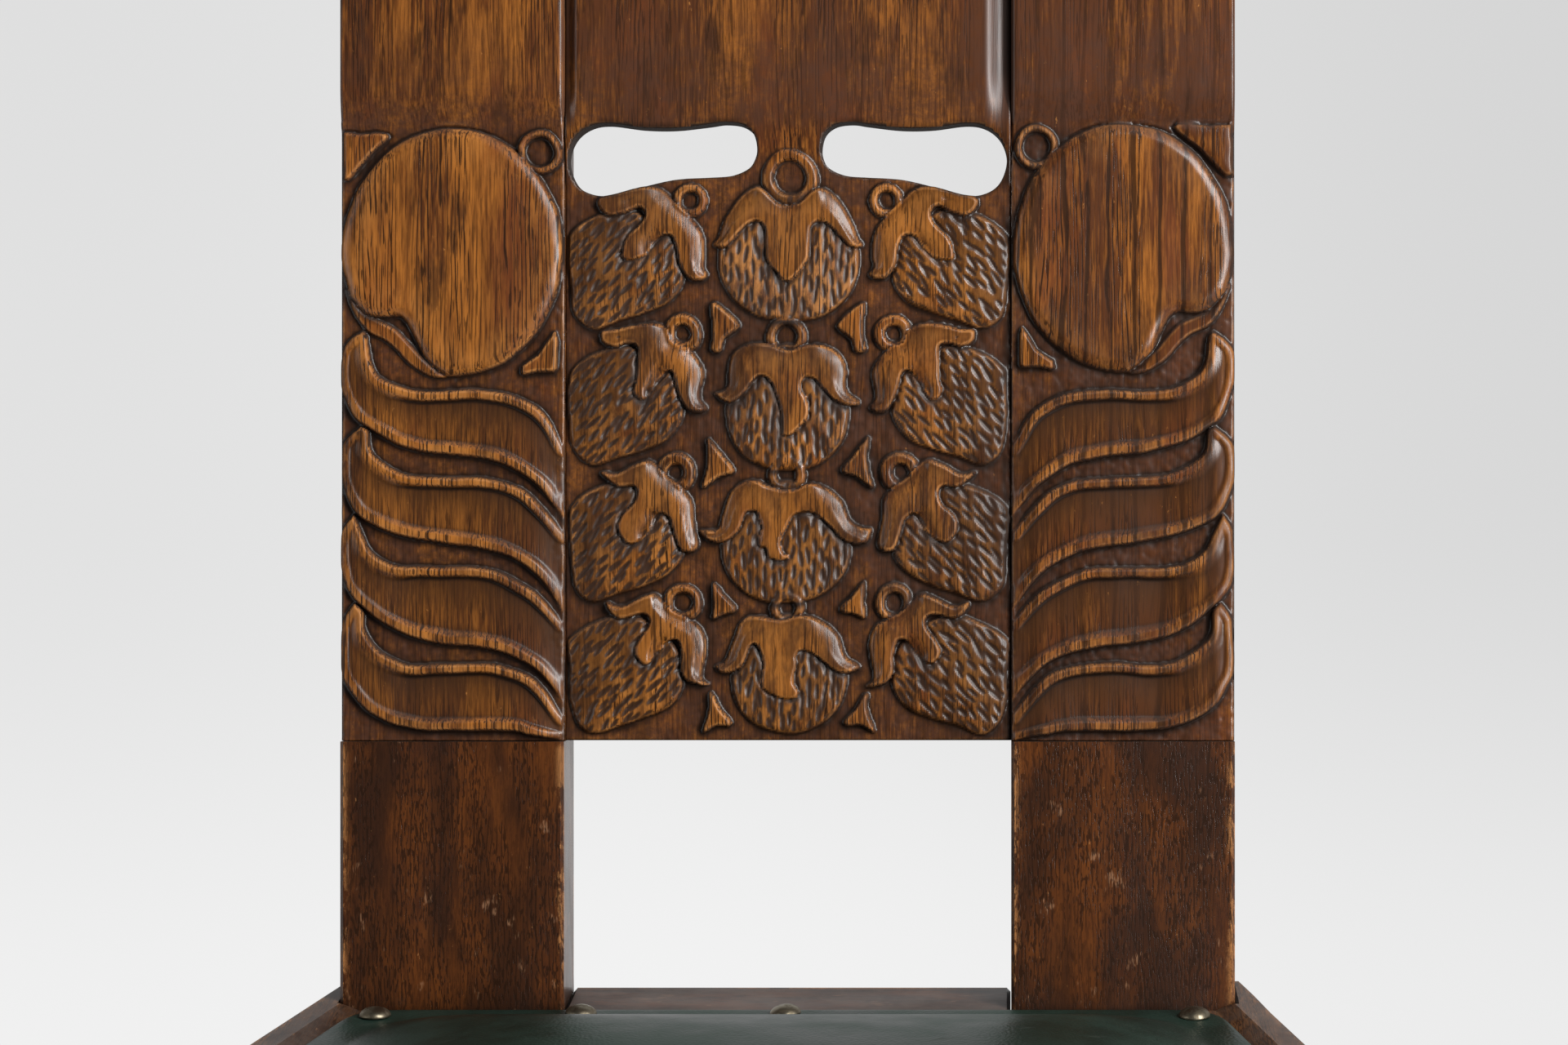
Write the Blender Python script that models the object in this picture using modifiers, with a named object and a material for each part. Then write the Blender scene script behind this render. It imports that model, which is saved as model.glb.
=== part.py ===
"""Carved oak chair with a tall panelled back and a nailed leather seat.

Metres, +Z up, the front faces -Y. Plan sizes are taken from the front face of the rear posts at the
height of the seat rails' top; an empty then moves the whole chair so that its footprint is centred on
the origin.
"""

import math

import bmesh
import bpy
from mathutils import Matrix, Vector

# Fits
CLEARANCE = 0.0003
EDGE_BEVEL = 0.0015

# Back
BACK_WIDTH = 0.400
BACK_HEIGHT = 0.590
BACK_RAKE = math.radians(7.5)
POST_WIDTH = 0.100
POST_DEPTH = 0.040
POST_FOOT_WIDTH = 0.062
REAR_LEG_RAKE = math.radians(9.0)
STILE_FOOT = 0.120
STILE_THICKNESS = 0.020
PANEL_SETBACK = 0.002
PANEL_THICKNESS = 0.016
TONGUE_DEPTH = 0.008
TONGUE_THICKNESS = 0.006
CREST_HEIGHT = 0.040
CREST_ARCH = 0.022
CREST_OVERHANG = 0.005
DOWEL_RADIUS = 0.004
DOWEL_LENGTH = 0.020
DOWEL_SHARES = (0.17, 0.81)

# Hand slots: a small inner lobe and a larger outer lobe, joined by a waist
SLOT_BRIDGE = 0.0294
SLOT_EDGE = 0.0022
SLOT_RISE = 0.2607
SLOT_OUTER_RADIUS = 0.0155
SLOT_INNER_RADIUS = 0.0113
SLOT_INNER_LIFT = 0.0050
SLOT_WAIST = 0.0225

# Seat frame
RAIL_TOP = 0.440
RAIL_HEIGHT = 0.062
RAIL_WIDTH = 0.050
SEAT_DEPTH = 0.385
SEAT_LAP = 0.004
SEAT_SPLAY = math.radians(12.0)
SPLAY_LENGTH = 0.130
FRONT_BOW = 0.012
MARGIN_RISE = 0.0035
MARGIN_WIDTH = 0.013
LEG_FOOT = 0.036
TENON_THICKNESS = 0.012
TENON_HEIGHT = 0.038
POST_TENON = 0.028
LEG_TENON = 0.017
CREST_TENON = 0.022
CREST_TENON_WIDTH = 0.066
STRETCHER_RISE = 0.150
STRETCHER_HEIGHT = 0.036
STRETCHER_WIDTH = 0.022
STRETCHER_HOUSING = 0.018
CROSS_HOUSING = 0.008

# Corner blocks and their screws
BLOCK_SIDE = 0.060
BLOCK_HEIGHT = 0.032
BLOCK_DROP = 0.024
SCREW_RADIUS = 0.0021
SCREW_HEAD_RADIUS = 0.0040
SCREW_HEAD_HEIGHT = 0.0026
SCREW_LENGTH = 0.038
SCREW_BITE = 0.014
SCREW_STEP = 0.020
SCREW_STAGGER = 0.0055

# Seat upholstery
LEATHER_MARGIN = 0.022
LEATHER_BACK_GAP = 0.005
LEATHER_THICKNESS = 0.0018
SEAT_CROWN = 0.024
CROWN_SHAPE = 3.5
CROWN_SHARES = (1.0, 0.93, 0.80, 0.60, 0.36, 0.12)
SEAT_CORNER = 0.016
REBATE_WIDTH = 0.009
REBATE_DEPTH = 0.008
STRAP_WIDTH = 0.050
STRAP_THICKNESS = 0.0016
STRAP_COUNT = 3
STRAP_CLIMB = 0.75
CLOTH_THICKNESS = 0.0010
NAIL_INSET = 0.0095
NAIL_PITCH = 0.094
NAIL_RADIUS = 0.0070
NAIL_DOME = 0.0042
NAIL_SHANK_RADIUS = 0.0010
NAIL_LENGTH = 0.012
NAIL_POINT = 0.0024

# Derived places
BACK_HALF = BACK_WIDTH / 2
PANEL_HALF = BACK_HALF - POST_WIDTH
POST_CENTRE = BACK_HALF - POST_WIDTH / 2
RAIL_BOTTOM = RAIL_TOP - RAIL_HEIGHT
RAIL_MIDDLE = RAIL_TOP - RAIL_HEIGHT / 2
MARGIN_TOP = RAIL_TOP + MARGIN_RISE
RAISED_HEIGHT = RAIL_HEIGHT + MARGIN_RISE
RAISED_MIDDLE = MARGIN_TOP - RAISED_HEIGHT / 2
SEAT_BACK_LINE = LEATHER_MARGIN - LEATHER_BACK_GAP
REAR_RAIL_FRONT = SEAT_BACK_LINE - RAIL_WIDTH
LEG_BACK = -(SEAT_DEPTH - RAIL_WIDTH)
EASE_START = POST_DEPTH - SPLAY_LENGTH
EASE_LENGTH = EASE_START - LEG_BACK
EASE_X = BACK_HALF + SEAT_LAP + math.tan(SEAT_SPLAY) * SPLAY_LENGTH
FRONT_HALF = EASE_X + math.tan(SEAT_SPLAY) * EASE_LENGTH / 2
STRAP_LOW = RAIL_TOP - REBATE_DEPTH + CLEARANCE
STRAP_STEP = STRAP_THICKNESS + CLEARANCE
CLOTH_BOTTOM = STRAP_LOW + STRAP_STEP + STRAP_THICKNESS + CLEARANCE
PAD_BOTTOM = CLOTH_BOTTOM + CLOTH_THICKNESS + CLEARANCE
PAD_INSET = RAIL_WIDTH - REBATE_WIDTH + 2 * CLEARANCE

# How an outline drawn in its own X and Y stands in the chair
FRONT_VIEW = Matrix.Rotation(math.pi / 2, 4, "X")
SIDE_VIEW = Matrix(((0, 0, 1, 0), (1, 0, 0, 0), (0, 1, 0, 0), (0, 0, 0, 1)))

SIDES = (("left", -1), ("right", 1))


def clear_scene():
    for old in list(bpy.data.objects):
        bpy.data.objects.remove(old)


def make_collection(name):
    made = bpy.data.collections.new(name)
    bpy.context.scene.collection.children.link(made)
    return made


def make_finish(name, colour, roughness, metallic=0.0):
    material = bpy.data.materials.new(name)
    material.use_nodes = True
    shader = material.node_tree.nodes["Principled BSDF"]
    shader.inputs["Base Color"].default_value = (*colour, 1.0)
    shader.inputs["Roughness"].default_value = roughness
    shader.inputs["Metallic"].default_value = metallic
    return material


clear_scene()
chair = make_collection("carved_oak_chair")
cutters = make_collection("cutters")
nail_holes = make_collection("nail_holes")

CARVED_OAK = make_finish("carved_oak", (0.250, 0.110, 0.035), 0.42)
DARK_OAK = make_finish("dark_oak", (0.130, 0.052, 0.022), 0.48)
PLAIN_OAK = make_finish("plain_oak", (0.300, 0.180, 0.090), 0.65)
LEATHER = make_finish("green_leather", (0.020, 0.035, 0.028), 0.38)
BRASS = make_finish("aged_brass", (0.300, 0.215, 0.110), 0.40, 1.0)
STEEL = make_finish("screw_steel", (0.330, 0.320, 0.300), 0.45, 1.0)
JUTE = make_finish("jute_webbing", (0.420, 0.310, 0.190), 0.85)
HESSIAN = make_finish("hessian", (0.380, 0.280, 0.170), 0.90)
STUFFING = make_finish("stuffing", (0.200, 0.150, 0.110), 0.95)

seat_frame = bpy.data.objects.new("seat_frame", None)
chair.objects.link(seat_frame)
back_frame = bpy.data.objects.new("back_frame", None)
back_frame.parent = seat_frame
back_frame.location = (0, 0, RAIL_TOP)
back_frame.rotation_euler = (-BACK_RAKE, 0, 0)
chair.objects.link(back_frame)


def add_part(name, mesh, finish, parent=seat_frame):
    """One sub-part of the chair, from a mesh."""
    part = bpy.data.objects.new(name, mesh)
    chair.objects.link(part)
    part.parent = parent
    mesh.materials.clear()
    mesh.materials.append(finish)
    return part


def add_cutter(name, mesh, parent=seat_frame, group=cutters):
    """A solid that is only subtracted from, or joined to, a sub-part."""
    cutter = bpy.data.objects.new(name, mesh)
    group.objects.link(cutter)
    cutter.parent = parent
    cutter.hide_render = True
    cutter.display_type = "WIRE"
    return cutter


def combine(part, other, operation):
    modifier = part.modifiers.new(f"{operation.lower()} {other.name}", "BOOLEAN")
    modifier.operation = operation
    modifier.object = other


def cut(part, cutter):
    combine(part, cutter, "DIFFERENCE")


def join(part, other):
    combine(part, other, "UNION")


def cut_nail_holes(part):
    modifier = part.modifiers.new("nail holes", "BOOLEAN")
    modifier.operand_type = "COLLECTION"
    modifier.collection = nail_holes


def soften(part, width=EDGE_BEVEL):
    bevel = part.modifiers.new("worn edges", "BEVEL")
    bevel.width = width
    bevel.segments = 1
    bevel.limit_method = "ANGLE"
    bevel.angle_limit = math.radians(50)


def smooth_round(mesh):
    mesh.shade_smooth()
    mesh.set_sharp_from_angle(angle=math.radians(40))


def box_mesh(name, low, high):
    """A box between two corners."""
    low, high = Vector(low), Vector(high)
    shape = bmesh.new()
    bmesh.ops.create_cube(shape, size=1.0)
    bmesh.ops.scale(shape, vec=high - low, verts=shape.verts)
    bmesh.ops.translate(shape, vec=(low + high) / 2, verts=shape.verts)
    mesh = bpy.data.meshes.new(name)
    shape.to_mesh(mesh)
    shape.free()
    return mesh


def rod_mesh(name, radius, start, end, sides=12):
    """A round rod between two points."""
    start, end = Vector(start), Vector(end)
    along = end - start
    turn = along.to_track_quat("Z", "Y").to_matrix().to_4x4()
    shape = bmesh.new()
    bmesh.ops.create_cone(
        shape, cap_ends=True, segments=sides, radius1=radius, radius2=radius, depth=along.length,
        matrix=Matrix.Translation((start + end) / 2) @ turn,
    )
    mesh = bpy.data.meshes.new(name)
    shape.to_mesh(mesh)
    shape.free()
    smooth_round(mesh)
    return mesh


def outline_mesh(name, points, thickness, view=Matrix.Identity(4), curved=False):
    """A flat outline thickened half to each side of its plane, then turned to stand in the given view."""
    curve = bpy.data.curves.new(name, "CURVE")
    curve.dimensions = "2D"
    curve.fill_mode = "BOTH"
    curve.extrude = thickness / 2
    curve.resolution_u = 6
    if curved:
        spline = curve.splines.new("BEZIER")
        spline.bezier_points.add(len(points) - 1)
        for knot, (x, y) in zip(spline.bezier_points, points):
            knot.co = (x, y, 0)
            knot.handle_left_type = "AUTO"
            knot.handle_right_type = "AUTO"
    else:
        spline = curve.splines.new("POLY")
        spline.points.add(len(points) - 1)
        for knot, (x, y) in zip(spline.points, points):
            knot.co = (x, y, 0, 1)
    spline.use_cyclic_u = True
    drawn = bpy.data.objects.new(name, curve)
    chair.objects.link(drawn)
    bpy.context.view_layer.update()
    mesh = bpy.data.meshes.new_from_object(drawn.evaluated_get(bpy.context.evaluated_depsgraph_get()))
    mesh.name = name
    bpy.data.objects.remove(drawn)
    shape = bmesh.new()
    shape.from_mesh(mesh)
    bmesh.ops.remove_doubles(shape, verts=shape.verts, dist=0.00001)
    bmesh.ops.transform(shape, matrix=view, verts=shape.verts)
    bmesh.ops.recalc_face_normals(shape, faces=shape.faces)
    shape.to_mesh(mesh)
    shape.free()
    return mesh


def loft_mesh(name, rings):
    """A closed skin through rings of equally many points, with its two ends filled."""
    shape = bmesh.new()
    loops = [[shape.verts.new(point) for point in ring] for ring in rings]
    for lower, upper in zip(loops, loops[1:]):
        for i in range(len(lower)):
            shape.faces.new((lower[i - 1], lower[i], upper[i], upper[i - 1]))
    shape.faces.new(loops[0])
    shape.faces.new(loops[-1])
    bmesh.ops.recalc_face_normals(shape, faces=shape.faces)
    mesh = bpy.data.meshes.new(name)
    shape.to_mesh(mesh)
    shape.free()
    smooth_round(mesh)
    return mesh


def grown(low, high, by=CLEARANCE):
    """The corners of a box made larger all round."""
    return [a - by for a in low], [b + by for b in high]


def side_edge(y):
    """Half the seat frame's width at depth y: splayed beside the posts, then eased to straight."""
    ahead = EASE_START - y
    if ahead <= 0:
        return EASE_X + math.tan(SEAT_SPLAY) * ahead
    ahead = min(ahead, EASE_LENGTH)
    return EASE_X + math.tan(SEAT_SPLAY) * (ahead - ahead * ahead / (2 * EASE_LENGTH))


def front_edge(x):
    """Depth of the seat frame's bowed front edge at x."""
    reach = FRONT_HALF - RAIL_WIDTH
    return -SEAT_DEPTH - FRONT_BOW * max(0.0, 1 - (x / reach) ** 2)


def spread(start, end, count):
    """Evenly spaced values from start to end."""
    return [start + (end - start) * i / (count - 1) for i in range(count)]


def seat_corners(inset, back_line=SEAT_BACK_LINE):
    """The seat outline's back right and front right corners, drawn in by inset."""
    back_y = back_line - inset
    front_x = FRONT_HALF - inset
    return Vector((side_edge(back_y) - inset, back_y)), Vector((front_x, front_edge(front_x) + inset))


def rounded_corner(before, corner, after):
    """Points of the curve that cuts a corner, between the points where it leaves the two sides."""
    return [before * (1 - t) ** 2 + corner * 2 * t * (1 - t) + after * t * t for t in (0.2, 0.5, 0.8)]


def seat_ring(inset, z, back_line=SEAT_BACK_LINE):
    """The seat's plan outline drawn in by inset, with round corners, at height z."""
    back, front = seat_corners(inset, back_line)
    back_side = [Vector((x, back.y)) for x in spread(-back.x + SEAT_CORNER, back.x - SEAT_CORNER, 7)]
    right_side = [
        Vector((side_edge(y) - inset, y)) for y in spread(back.y - SEAT_CORNER, front.y + SEAT_CORNER, 8)
    ]
    front_side = [
        Vector((x, front_edge(x) + inset)) for x in spread(front.x - SEAT_CORNER, -front.x + SEAT_CORNER, 9)
    ]
    left_side = [Vector((-p.x, p.y)) for p in reversed(right_side)]
    back_left = Vector((-back.x, back.y))
    front_left = Vector((-front.x, front.y))
    ring = [
        *back_side, *rounded_corner(back_side[-1], back, right_side[0]),
        *right_side, *rounded_corner(right_side[-1], front, front_side[0]),
        *front_side, *rounded_corner(front_side[-1], front_left, left_side[0]),
        *left_side, *rounded_corner(left_side[-1], back_left, back_side[0]),
    ]
    return [Vector((p.x, p.y, z)) for p in ring]


def crown_rings(edge, lift):
    """Rings from the pad's edge up to the seat's crown, steep at the edge and flat in the middle."""
    centre = sum(edge, Vector()) / len(edge)
    rings = []
    for share in CROWN_SHARES:
        rise = lift + SEAT_CROWN * (1 - share**CROWN_SHAPE)
        rings.append([centre + (p - centre) * share + Vector((0, 0, rise)) for p in edge])
    return rings


def post_profile():
    """The rear post's side view: a leg that runs back, an upright at the rails and the raked back."""
    up = Vector((math.sin(BACK_RAKE), math.cos(BACK_RAKE)))
    back = Vector((math.cos(BACK_RAKE), -math.sin(BACK_RAKE))) * POST_DEPTH
    bend = Vector((0, RAIL_TOP))
    top = bend + up * (BACK_HEIGHT - CLEARANCE)
    rear_bend = RAIL_TOP - POST_DEPTH * math.tan(BACK_RAKE / 2)
    foot = RAIL_BOTTOM * math.tan(REAR_LEG_RAKE)
    rear_knee = RAIL_BOTTOM + POST_DEPTH * math.tan(REAR_LEG_RAKE / 2)
    return [
        (foot, 0), (0, RAIL_BOTTOM), tuple(bend), tuple(top), tuple(top + back),
        (POST_DEPTH, rear_bend), (POST_DEPTH, rear_knee), (foot + POST_DEPTH, 0),
    ]


def make_posts():
    """Rear posts, rebated at the front for the stile boards and tapered inside below the rails."""
    posts = {}
    for side, sign in SIDES:
        mesh = outline_mesh(f"{side}_rear_post", post_profile(), POST_WIDTH, SIDE_VIEW)
        post = add_part(f"{side}_rear_post", mesh, DARK_OAK)
        post.location.x = sign * POST_CENTRE
        soften(post)
        rebate = add_cutter(
            f"{side}_stile_rebate",
            box_mesh(
                f"{side}_stile_rebate",
                (-POST_WIDTH, -POST_DEPTH, STILE_FOOT),
                (POST_WIDTH, STILE_THICKNESS + CLEARANCE, BACK_HEIGHT + POST_DEPTH),
            ),
            back_frame,
        )
        rebate.location.x = sign * POST_CENTRE
        cut(post, rebate)
        reach = POST_FOOT_WIDTH - POST_WIDTH / 2
        taper = [
            (-sign * POST_WIDTH, RAIL_BOTTOM), (-sign * POST_WIDTH / 2, RAIL_BOTTOM),
            (-sign * reach, -EDGE_BEVEL), (-sign * POST_WIDTH, -EDGE_BEVEL),
        ]
        wedge = add_cutter(
            f"{side}_leg_taper", outline_mesh(f"{side}_leg_taper", taper, 8 * POST_DEPTH, FRONT_VIEW)
        )
        wedge.location.x = sign * POST_CENTRE
        cut(post, wedge)
        tenon_depth = (STILE_THICKNESS + POST_DEPTH) / 2
        low = (-CREST_TENON_WIDTH / 2, tenon_depth - TENON_THICKNESS / 2, BACK_HEIGHT - CREST_TENON)
        high = (CREST_TENON_WIDTH / 2, tenon_depth + TENON_THICKNESS / 2, BACK_HEIGHT + CREST_TENON)
        tenon = add_cutter(f"{side}_crest_tenon", box_mesh(f"{side}_crest_tenon", low, high), back_frame)
        tenon.location.x = sign * POST_CENTRE
        join(post, tenon)
        mortise = add_cutter(
            f"{side}_crest_mortise", box_mesh(f"{side}_crest_mortise", *grown(low, high)), back_frame
        )
        mortise.location.x = sign * POST_CENTRE
        posts[side] = (post, mortise)
    return posts


def slot_outline(sign):
    """A hand slot on one side of the panel, as eight points of a smooth curve."""
    inner = SLOT_BRIDGE / 2
    outer = PANEL_HALF - SLOT_EDGE
    small = Vector((inner + SLOT_INNER_RADIUS, SLOT_RISE + SLOT_INNER_LIFT))
    large = Vector((outer - SLOT_OUTER_RADIUS, SLOT_RISE))
    waist = (small + large) / 2
    points = [
        (inner, small.y), (small.x, small.y + SLOT_INNER_RADIUS), (waist.x, waist.y + SLOT_WAIST / 2),
        (large.x, large.y + SLOT_OUTER_RADIUS), (outer, large.y), (large.x, large.y - SLOT_OUTER_RADIUS),
        (waist.x, waist.y - SLOT_WAIST / 2), (small.x, small.y - SLOT_INNER_RADIUS),
    ]
    return [(sign * x, STILE_FOOT + y) for x, y in points]


def make_panel():
    """The back panel: a board with a tongue on its sides and top, and two hand slots."""
    back = PANEL_SETBACK + PANEL_THICKNESS
    panel = add_part(
        "back_panel",
        box_mesh(
            "back_panel",
            (-PANEL_HALF + CLEARANCE, PANEL_SETBACK, STILE_FOOT),
            (PANEL_HALF - CLEARANCE, back, BACK_HEIGHT - CLEARANCE),
        ),
        CARVED_OAK, back_frame,
    )
    soften(panel)
    middle = (PANEL_SETBACK + back) / 2
    low = (-PANEL_HALF - TONGUE_DEPTH, middle - TONGUE_THICKNESS / 2, STILE_FOOT + EDGE_BEVEL)
    high = (PANEL_HALF + TONGUE_DEPTH, middle + TONGUE_THICKNESS / 2, BACK_HEIGHT + TONGUE_DEPTH)
    join(panel, add_cutter("panel_tongue", box_mesh("panel_tongue", low, high), back_frame))
    for side, sign in SIDES:
        slot = outline_mesh(f"{side}_hand_slot", slot_outline(sign), 4 * PANEL_THICKNESS, FRONT_VIEW, True)
        cut(panel, add_cutter(f"{side}_hand_slot", slot, back_frame))
    grown_low, grown_high = grown(low, high)
    grown_low[2] = STILE_FOOT - TONGUE_DEPTH
    return add_cutter("panel_groove", box_mesh("panel_groove", grown_low, grown_high), back_frame)


def make_stiles(posts, groove):
    """Carved stile boards in the posts' rebates, grooved for the panel and dowelled to the posts."""
    for side, sign in SIDES:
        mesh = box_mesh(
            f"{side}_carved_stile",
            (-POST_WIDTH / 2, 0, STILE_FOOT + CLEARANCE),
            (POST_WIDTH / 2, STILE_THICKNESS, BACK_HEIGHT - CLEARANCE),
        )
        stile = add_part(f"{side}_carved_stile", mesh, CARVED_OAK, back_frame)
        stile.location.x = sign * POST_CENTRE
        soften(stile)
        cut(stile, groove)
        for number, share in enumerate(DOWEL_SHARES, 1):
            name = f"{side}_stile_dowel_{number}"
            rise = STILE_FOOT + (BACK_HEIGHT - STILE_FOOT) * share
            start = Vector((0, STILE_THICKNESS - DOWEL_LENGTH / 2, rise))
            end = Vector((0, STILE_THICKNESS + DOWEL_LENGTH / 2, rise))
            dowel = add_part(name, rod_mesh(name, DOWEL_RADIUS, start, end), PLAIN_OAK, back_frame)
            dowel.location.x = sign * POST_CENTRE
            spare = Vector((0, CLEARANCE, 0))
            hole = add_cutter(
                f"{name}_hole",
                rod_mesh(f"{name}_hole", DOWEL_RADIUS + CLEARANCE, start - spare, end + spare),
                back_frame,
            )
            hole.location.x = sign * POST_CENTRE
            cut(stile, hole)
            cut(posts[side][0], hole)


def make_crest(posts, groove):
    """The crest rail: a gentle arch over the posts, mortised for them and grooved for the panel."""
    half = BACK_HALF + CREST_OVERHANG
    top = [
        (x, BACK_HEIGHT + CREST_HEIGHT + CREST_ARCH * (1 + math.cos(math.pi * x / half)) / 2)
        for x in spread(half, -half, 17)
    ]
    outline = [(-half, BACK_HEIGHT), (half, BACK_HEIGHT), *top]
    thickness = POST_DEPTH + 2 * CREST_OVERHANG
    mesh = outline_mesh("crest_rail", outline, thickness, FRONT_VIEW)
    crest = add_part("crest_rail", mesh, CARVED_OAK, back_frame)
    crest.location.y = POST_DEPTH / 2
    soften(crest, 2 * EDGE_BEVEL)
    cut(crest, groove)
    for _, mortise in posts.values():
        cut(crest, mortise)


def add_tenon(rail, socket, name, low, high):
    """A tenon on a rail, and its mortise in the piece that receives it."""
    join(rail, add_cutter(f"{name}_tenon", box_mesh(f"{name}_tenon", low, high)))
    cut(socket, add_cutter(f"{name}_mortise", box_mesh(f"{name}_mortise", *grown(low, high))))


def make_rails(posts):
    """The seat frame: rails notched round the posts, and the front legs that carry the front corners."""
    tenon_low = RAIL_MIDDLE - TENON_HEIGHT / 2
    tenon_high = RAIL_MIDDLE + TENON_HEIGHT / 2
    half_thick = TENON_THICKNESS / 2

    inner = [side_edge(y) - RAIL_WIDTH - CLEARANCE for y in (-CLEARANCE, REAR_RAIL_FRONT)]
    half_plan = [
        (PANEL_HALF - CLEARANCE, POST_DEPTH), (PANEL_HALF - CLEARANCE, -CLEARANCE), (inner[0], -CLEARANCE),
        (inner[1], REAR_RAIL_FRONT),
    ]
    plan = [*half_plan, *[(-x, y) for x, y in reversed(half_plan)]]
    rear = add_part("rear_seat_rail", outline_mesh("rear_seat_rail", plan, RAIL_HEIGHT), DARK_OAK)
    rear.location.z = RAIL_MIDDLE
    soften(rear)

    front_half = FRONT_HALF - RAIL_WIDTH - CLEARANCE
    bowed = [(x, front_edge(x)) for x in spread(-front_half, front_half, 13)]
    plan = [*bowed, (front_half, LEG_BACK), (-front_half, LEG_BACK)]
    front = add_part("front_seat_rail", outline_mesh("front_seat_rail", plan, RAISED_HEIGHT), DARK_OAK)
    front.location.z = RAISED_MIDDLE
    soften(front)

    frame = {"rear": rear, "front": front}
    for side, sign in SIDES:
        post = posts[side][0]
        front_end = LEG_BACK + CLEARANCE
        outer = [(side_edge(y), y) for y in spread(POST_DEPTH, front_end, 15)]
        inside = [(side_edge(y) - RAIL_WIDTH, y) for y in spread(front_end, -CLEARANCE, 13)]
        lap = [(BACK_HALF + CLEARANCE, -CLEARANCE), (BACK_HALF + CLEARANCE, POST_DEPTH)]
        plan = [(sign * x, y) for x, y in [*outer, *inside, *lap]]
        mesh = outline_mesh(f"{side}_seat_rail", plan, RAISED_HEIGHT)
        rail = add_part(f"{side}_seat_rail", mesh, DARK_OAK)
        rail.location.z = RAISED_MIDDLE
        soften(rail)

        leg = make_front_leg(side, sign)
        frame[side] = rail
        frame[f"{side}_leg"] = leg
        reach = POST_TENON - CLEARANCE
        across = sorted((sign * (PANEL_HALF - reach), sign * (PANEL_HALF + reach)))
        add_tenon(
            rear, post, f"{side}_rear_rail",
            (across[0], POST_DEPTH / 2 - half_thick, tenon_low),
            (across[1], POST_DEPTH / 2 + half_thick, tenon_high),
        )
        seat = sign * (side_edge(0) - RAIL_WIDTH + BACK_HALF) / 2
        add_tenon(
            rail, post, f"{side}_rail_back",
            (seat - half_thick, -POST_TENON, tenon_low), (seat + half_thick, POST_TENON, tenon_high),
        )
        leg_centre = sign * (FRONT_HALF - RAIL_WIDTH / 2)
        add_tenon(
            rail, leg, f"{side}_rail_front",
            (leg_centre - half_thick, LEG_BACK - LEG_TENON, tenon_low),
            (leg_centre + half_thick, LEG_BACK + LEG_TENON, tenon_high),
        )
        middle = (LEG_BACK - SEAT_DEPTH) / 2
        leg_face = FRONT_HALF - RAIL_WIDTH
        across = sorted((sign * (leg_face - LEG_TENON), sign * (leg_face + LEG_TENON)))
        add_tenon(
            front, leg, f"{side}_front_rail",
            (across[0], middle - half_thick, tenon_low), (across[1], middle + half_thick, tenon_high),
        )
    cut_rebate(frame)
    return frame


def make_front_leg(side, sign):
    """A square front leg, flush with the rails at the top and tapered on its inner faces below them."""
    low = (-RAIL_WIDTH, 0, 0)
    high = (0, RAIL_WIDTH, MARGIN_TOP)
    mesh = box_mesh(f"{side}_front_leg", low, high)
    shape = bmesh.new()
    shape.from_mesh(mesh)
    everything = [*shape.verts, *shape.edges, *shape.faces]
    bmesh.ops.bisect_plane(shape, geom=everything, plane_co=(0, 0, RAIL_BOTTOM), plane_no=(0, 0, 1))
    feet = [corner for corner in shape.verts if corner.co.z < EDGE_BEVEL]
    share = LEG_FOOT / RAIL_WIDTH
    bmesh.ops.scale(shape, vec=(share, share, 1), verts=feet)
    bmesh.ops.scale(shape, vec=(sign, 1, 1), verts=shape.verts)
    bmesh.ops.recalc_face_normals(shape, faces=shape.faces)
    shape.to_mesh(mesh)
    shape.free()
    leg = add_part(f"{side}_front_leg", mesh, DARK_OAK)
    leg.location = (sign * FRONT_HALF, -SEAT_DEPTH, 0)
    soften(leg)
    return leg


def cut_rebate(frame):
    """The rails' sloped shoulder down to the leather, and the step inside them for the webbing."""
    foot = LEATHER_MARGIN - 2 * CLEARANCE
    levels = ((foot, RAIL_TOP), (MARGIN_WIDTH, MARGIN_TOP), (MARGIN_WIDTH, MARGIN_TOP + SEAT_CROWN))
    rings = [seat_ring(inset, z, POST_DEPTH + inset) for inset, z in levels]
    shoulder = add_cutter("seat_shoulder", loft_mesh("seat_shoulder", rings))
    inset = RAIL_WIDTH - REBATE_WIDTH
    rings = [seat_ring(inset, z) for z in (RAIL_TOP - REBATE_DEPTH, MARGIN_TOP)]
    rebate = add_cutter("seat_rebate", loft_mesh("seat_rebate", rings))
    for name, piece in frame.items():
        cut(piece, rebate)
        if name != "rear":
            cut(piece, shoulder)


def slanted_box(name, start, end, width, height, grow=0.0):
    """A square-edged bar between two points at one height."""
    start, end = Vector(start), Vector(end)
    along = end - start
    half = along.length / 2 + grow
    low = (-half, -width / 2 - grow, -height / 2 - grow)
    mesh = box_mesh(name, low, [-value for value in low])
    turn = Matrix.Rotation(math.atan2(along.y, along.x), 4, "Z")
    mesh.transform(Matrix.Translation((start + end) / 2) @ turn)
    return mesh


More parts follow.
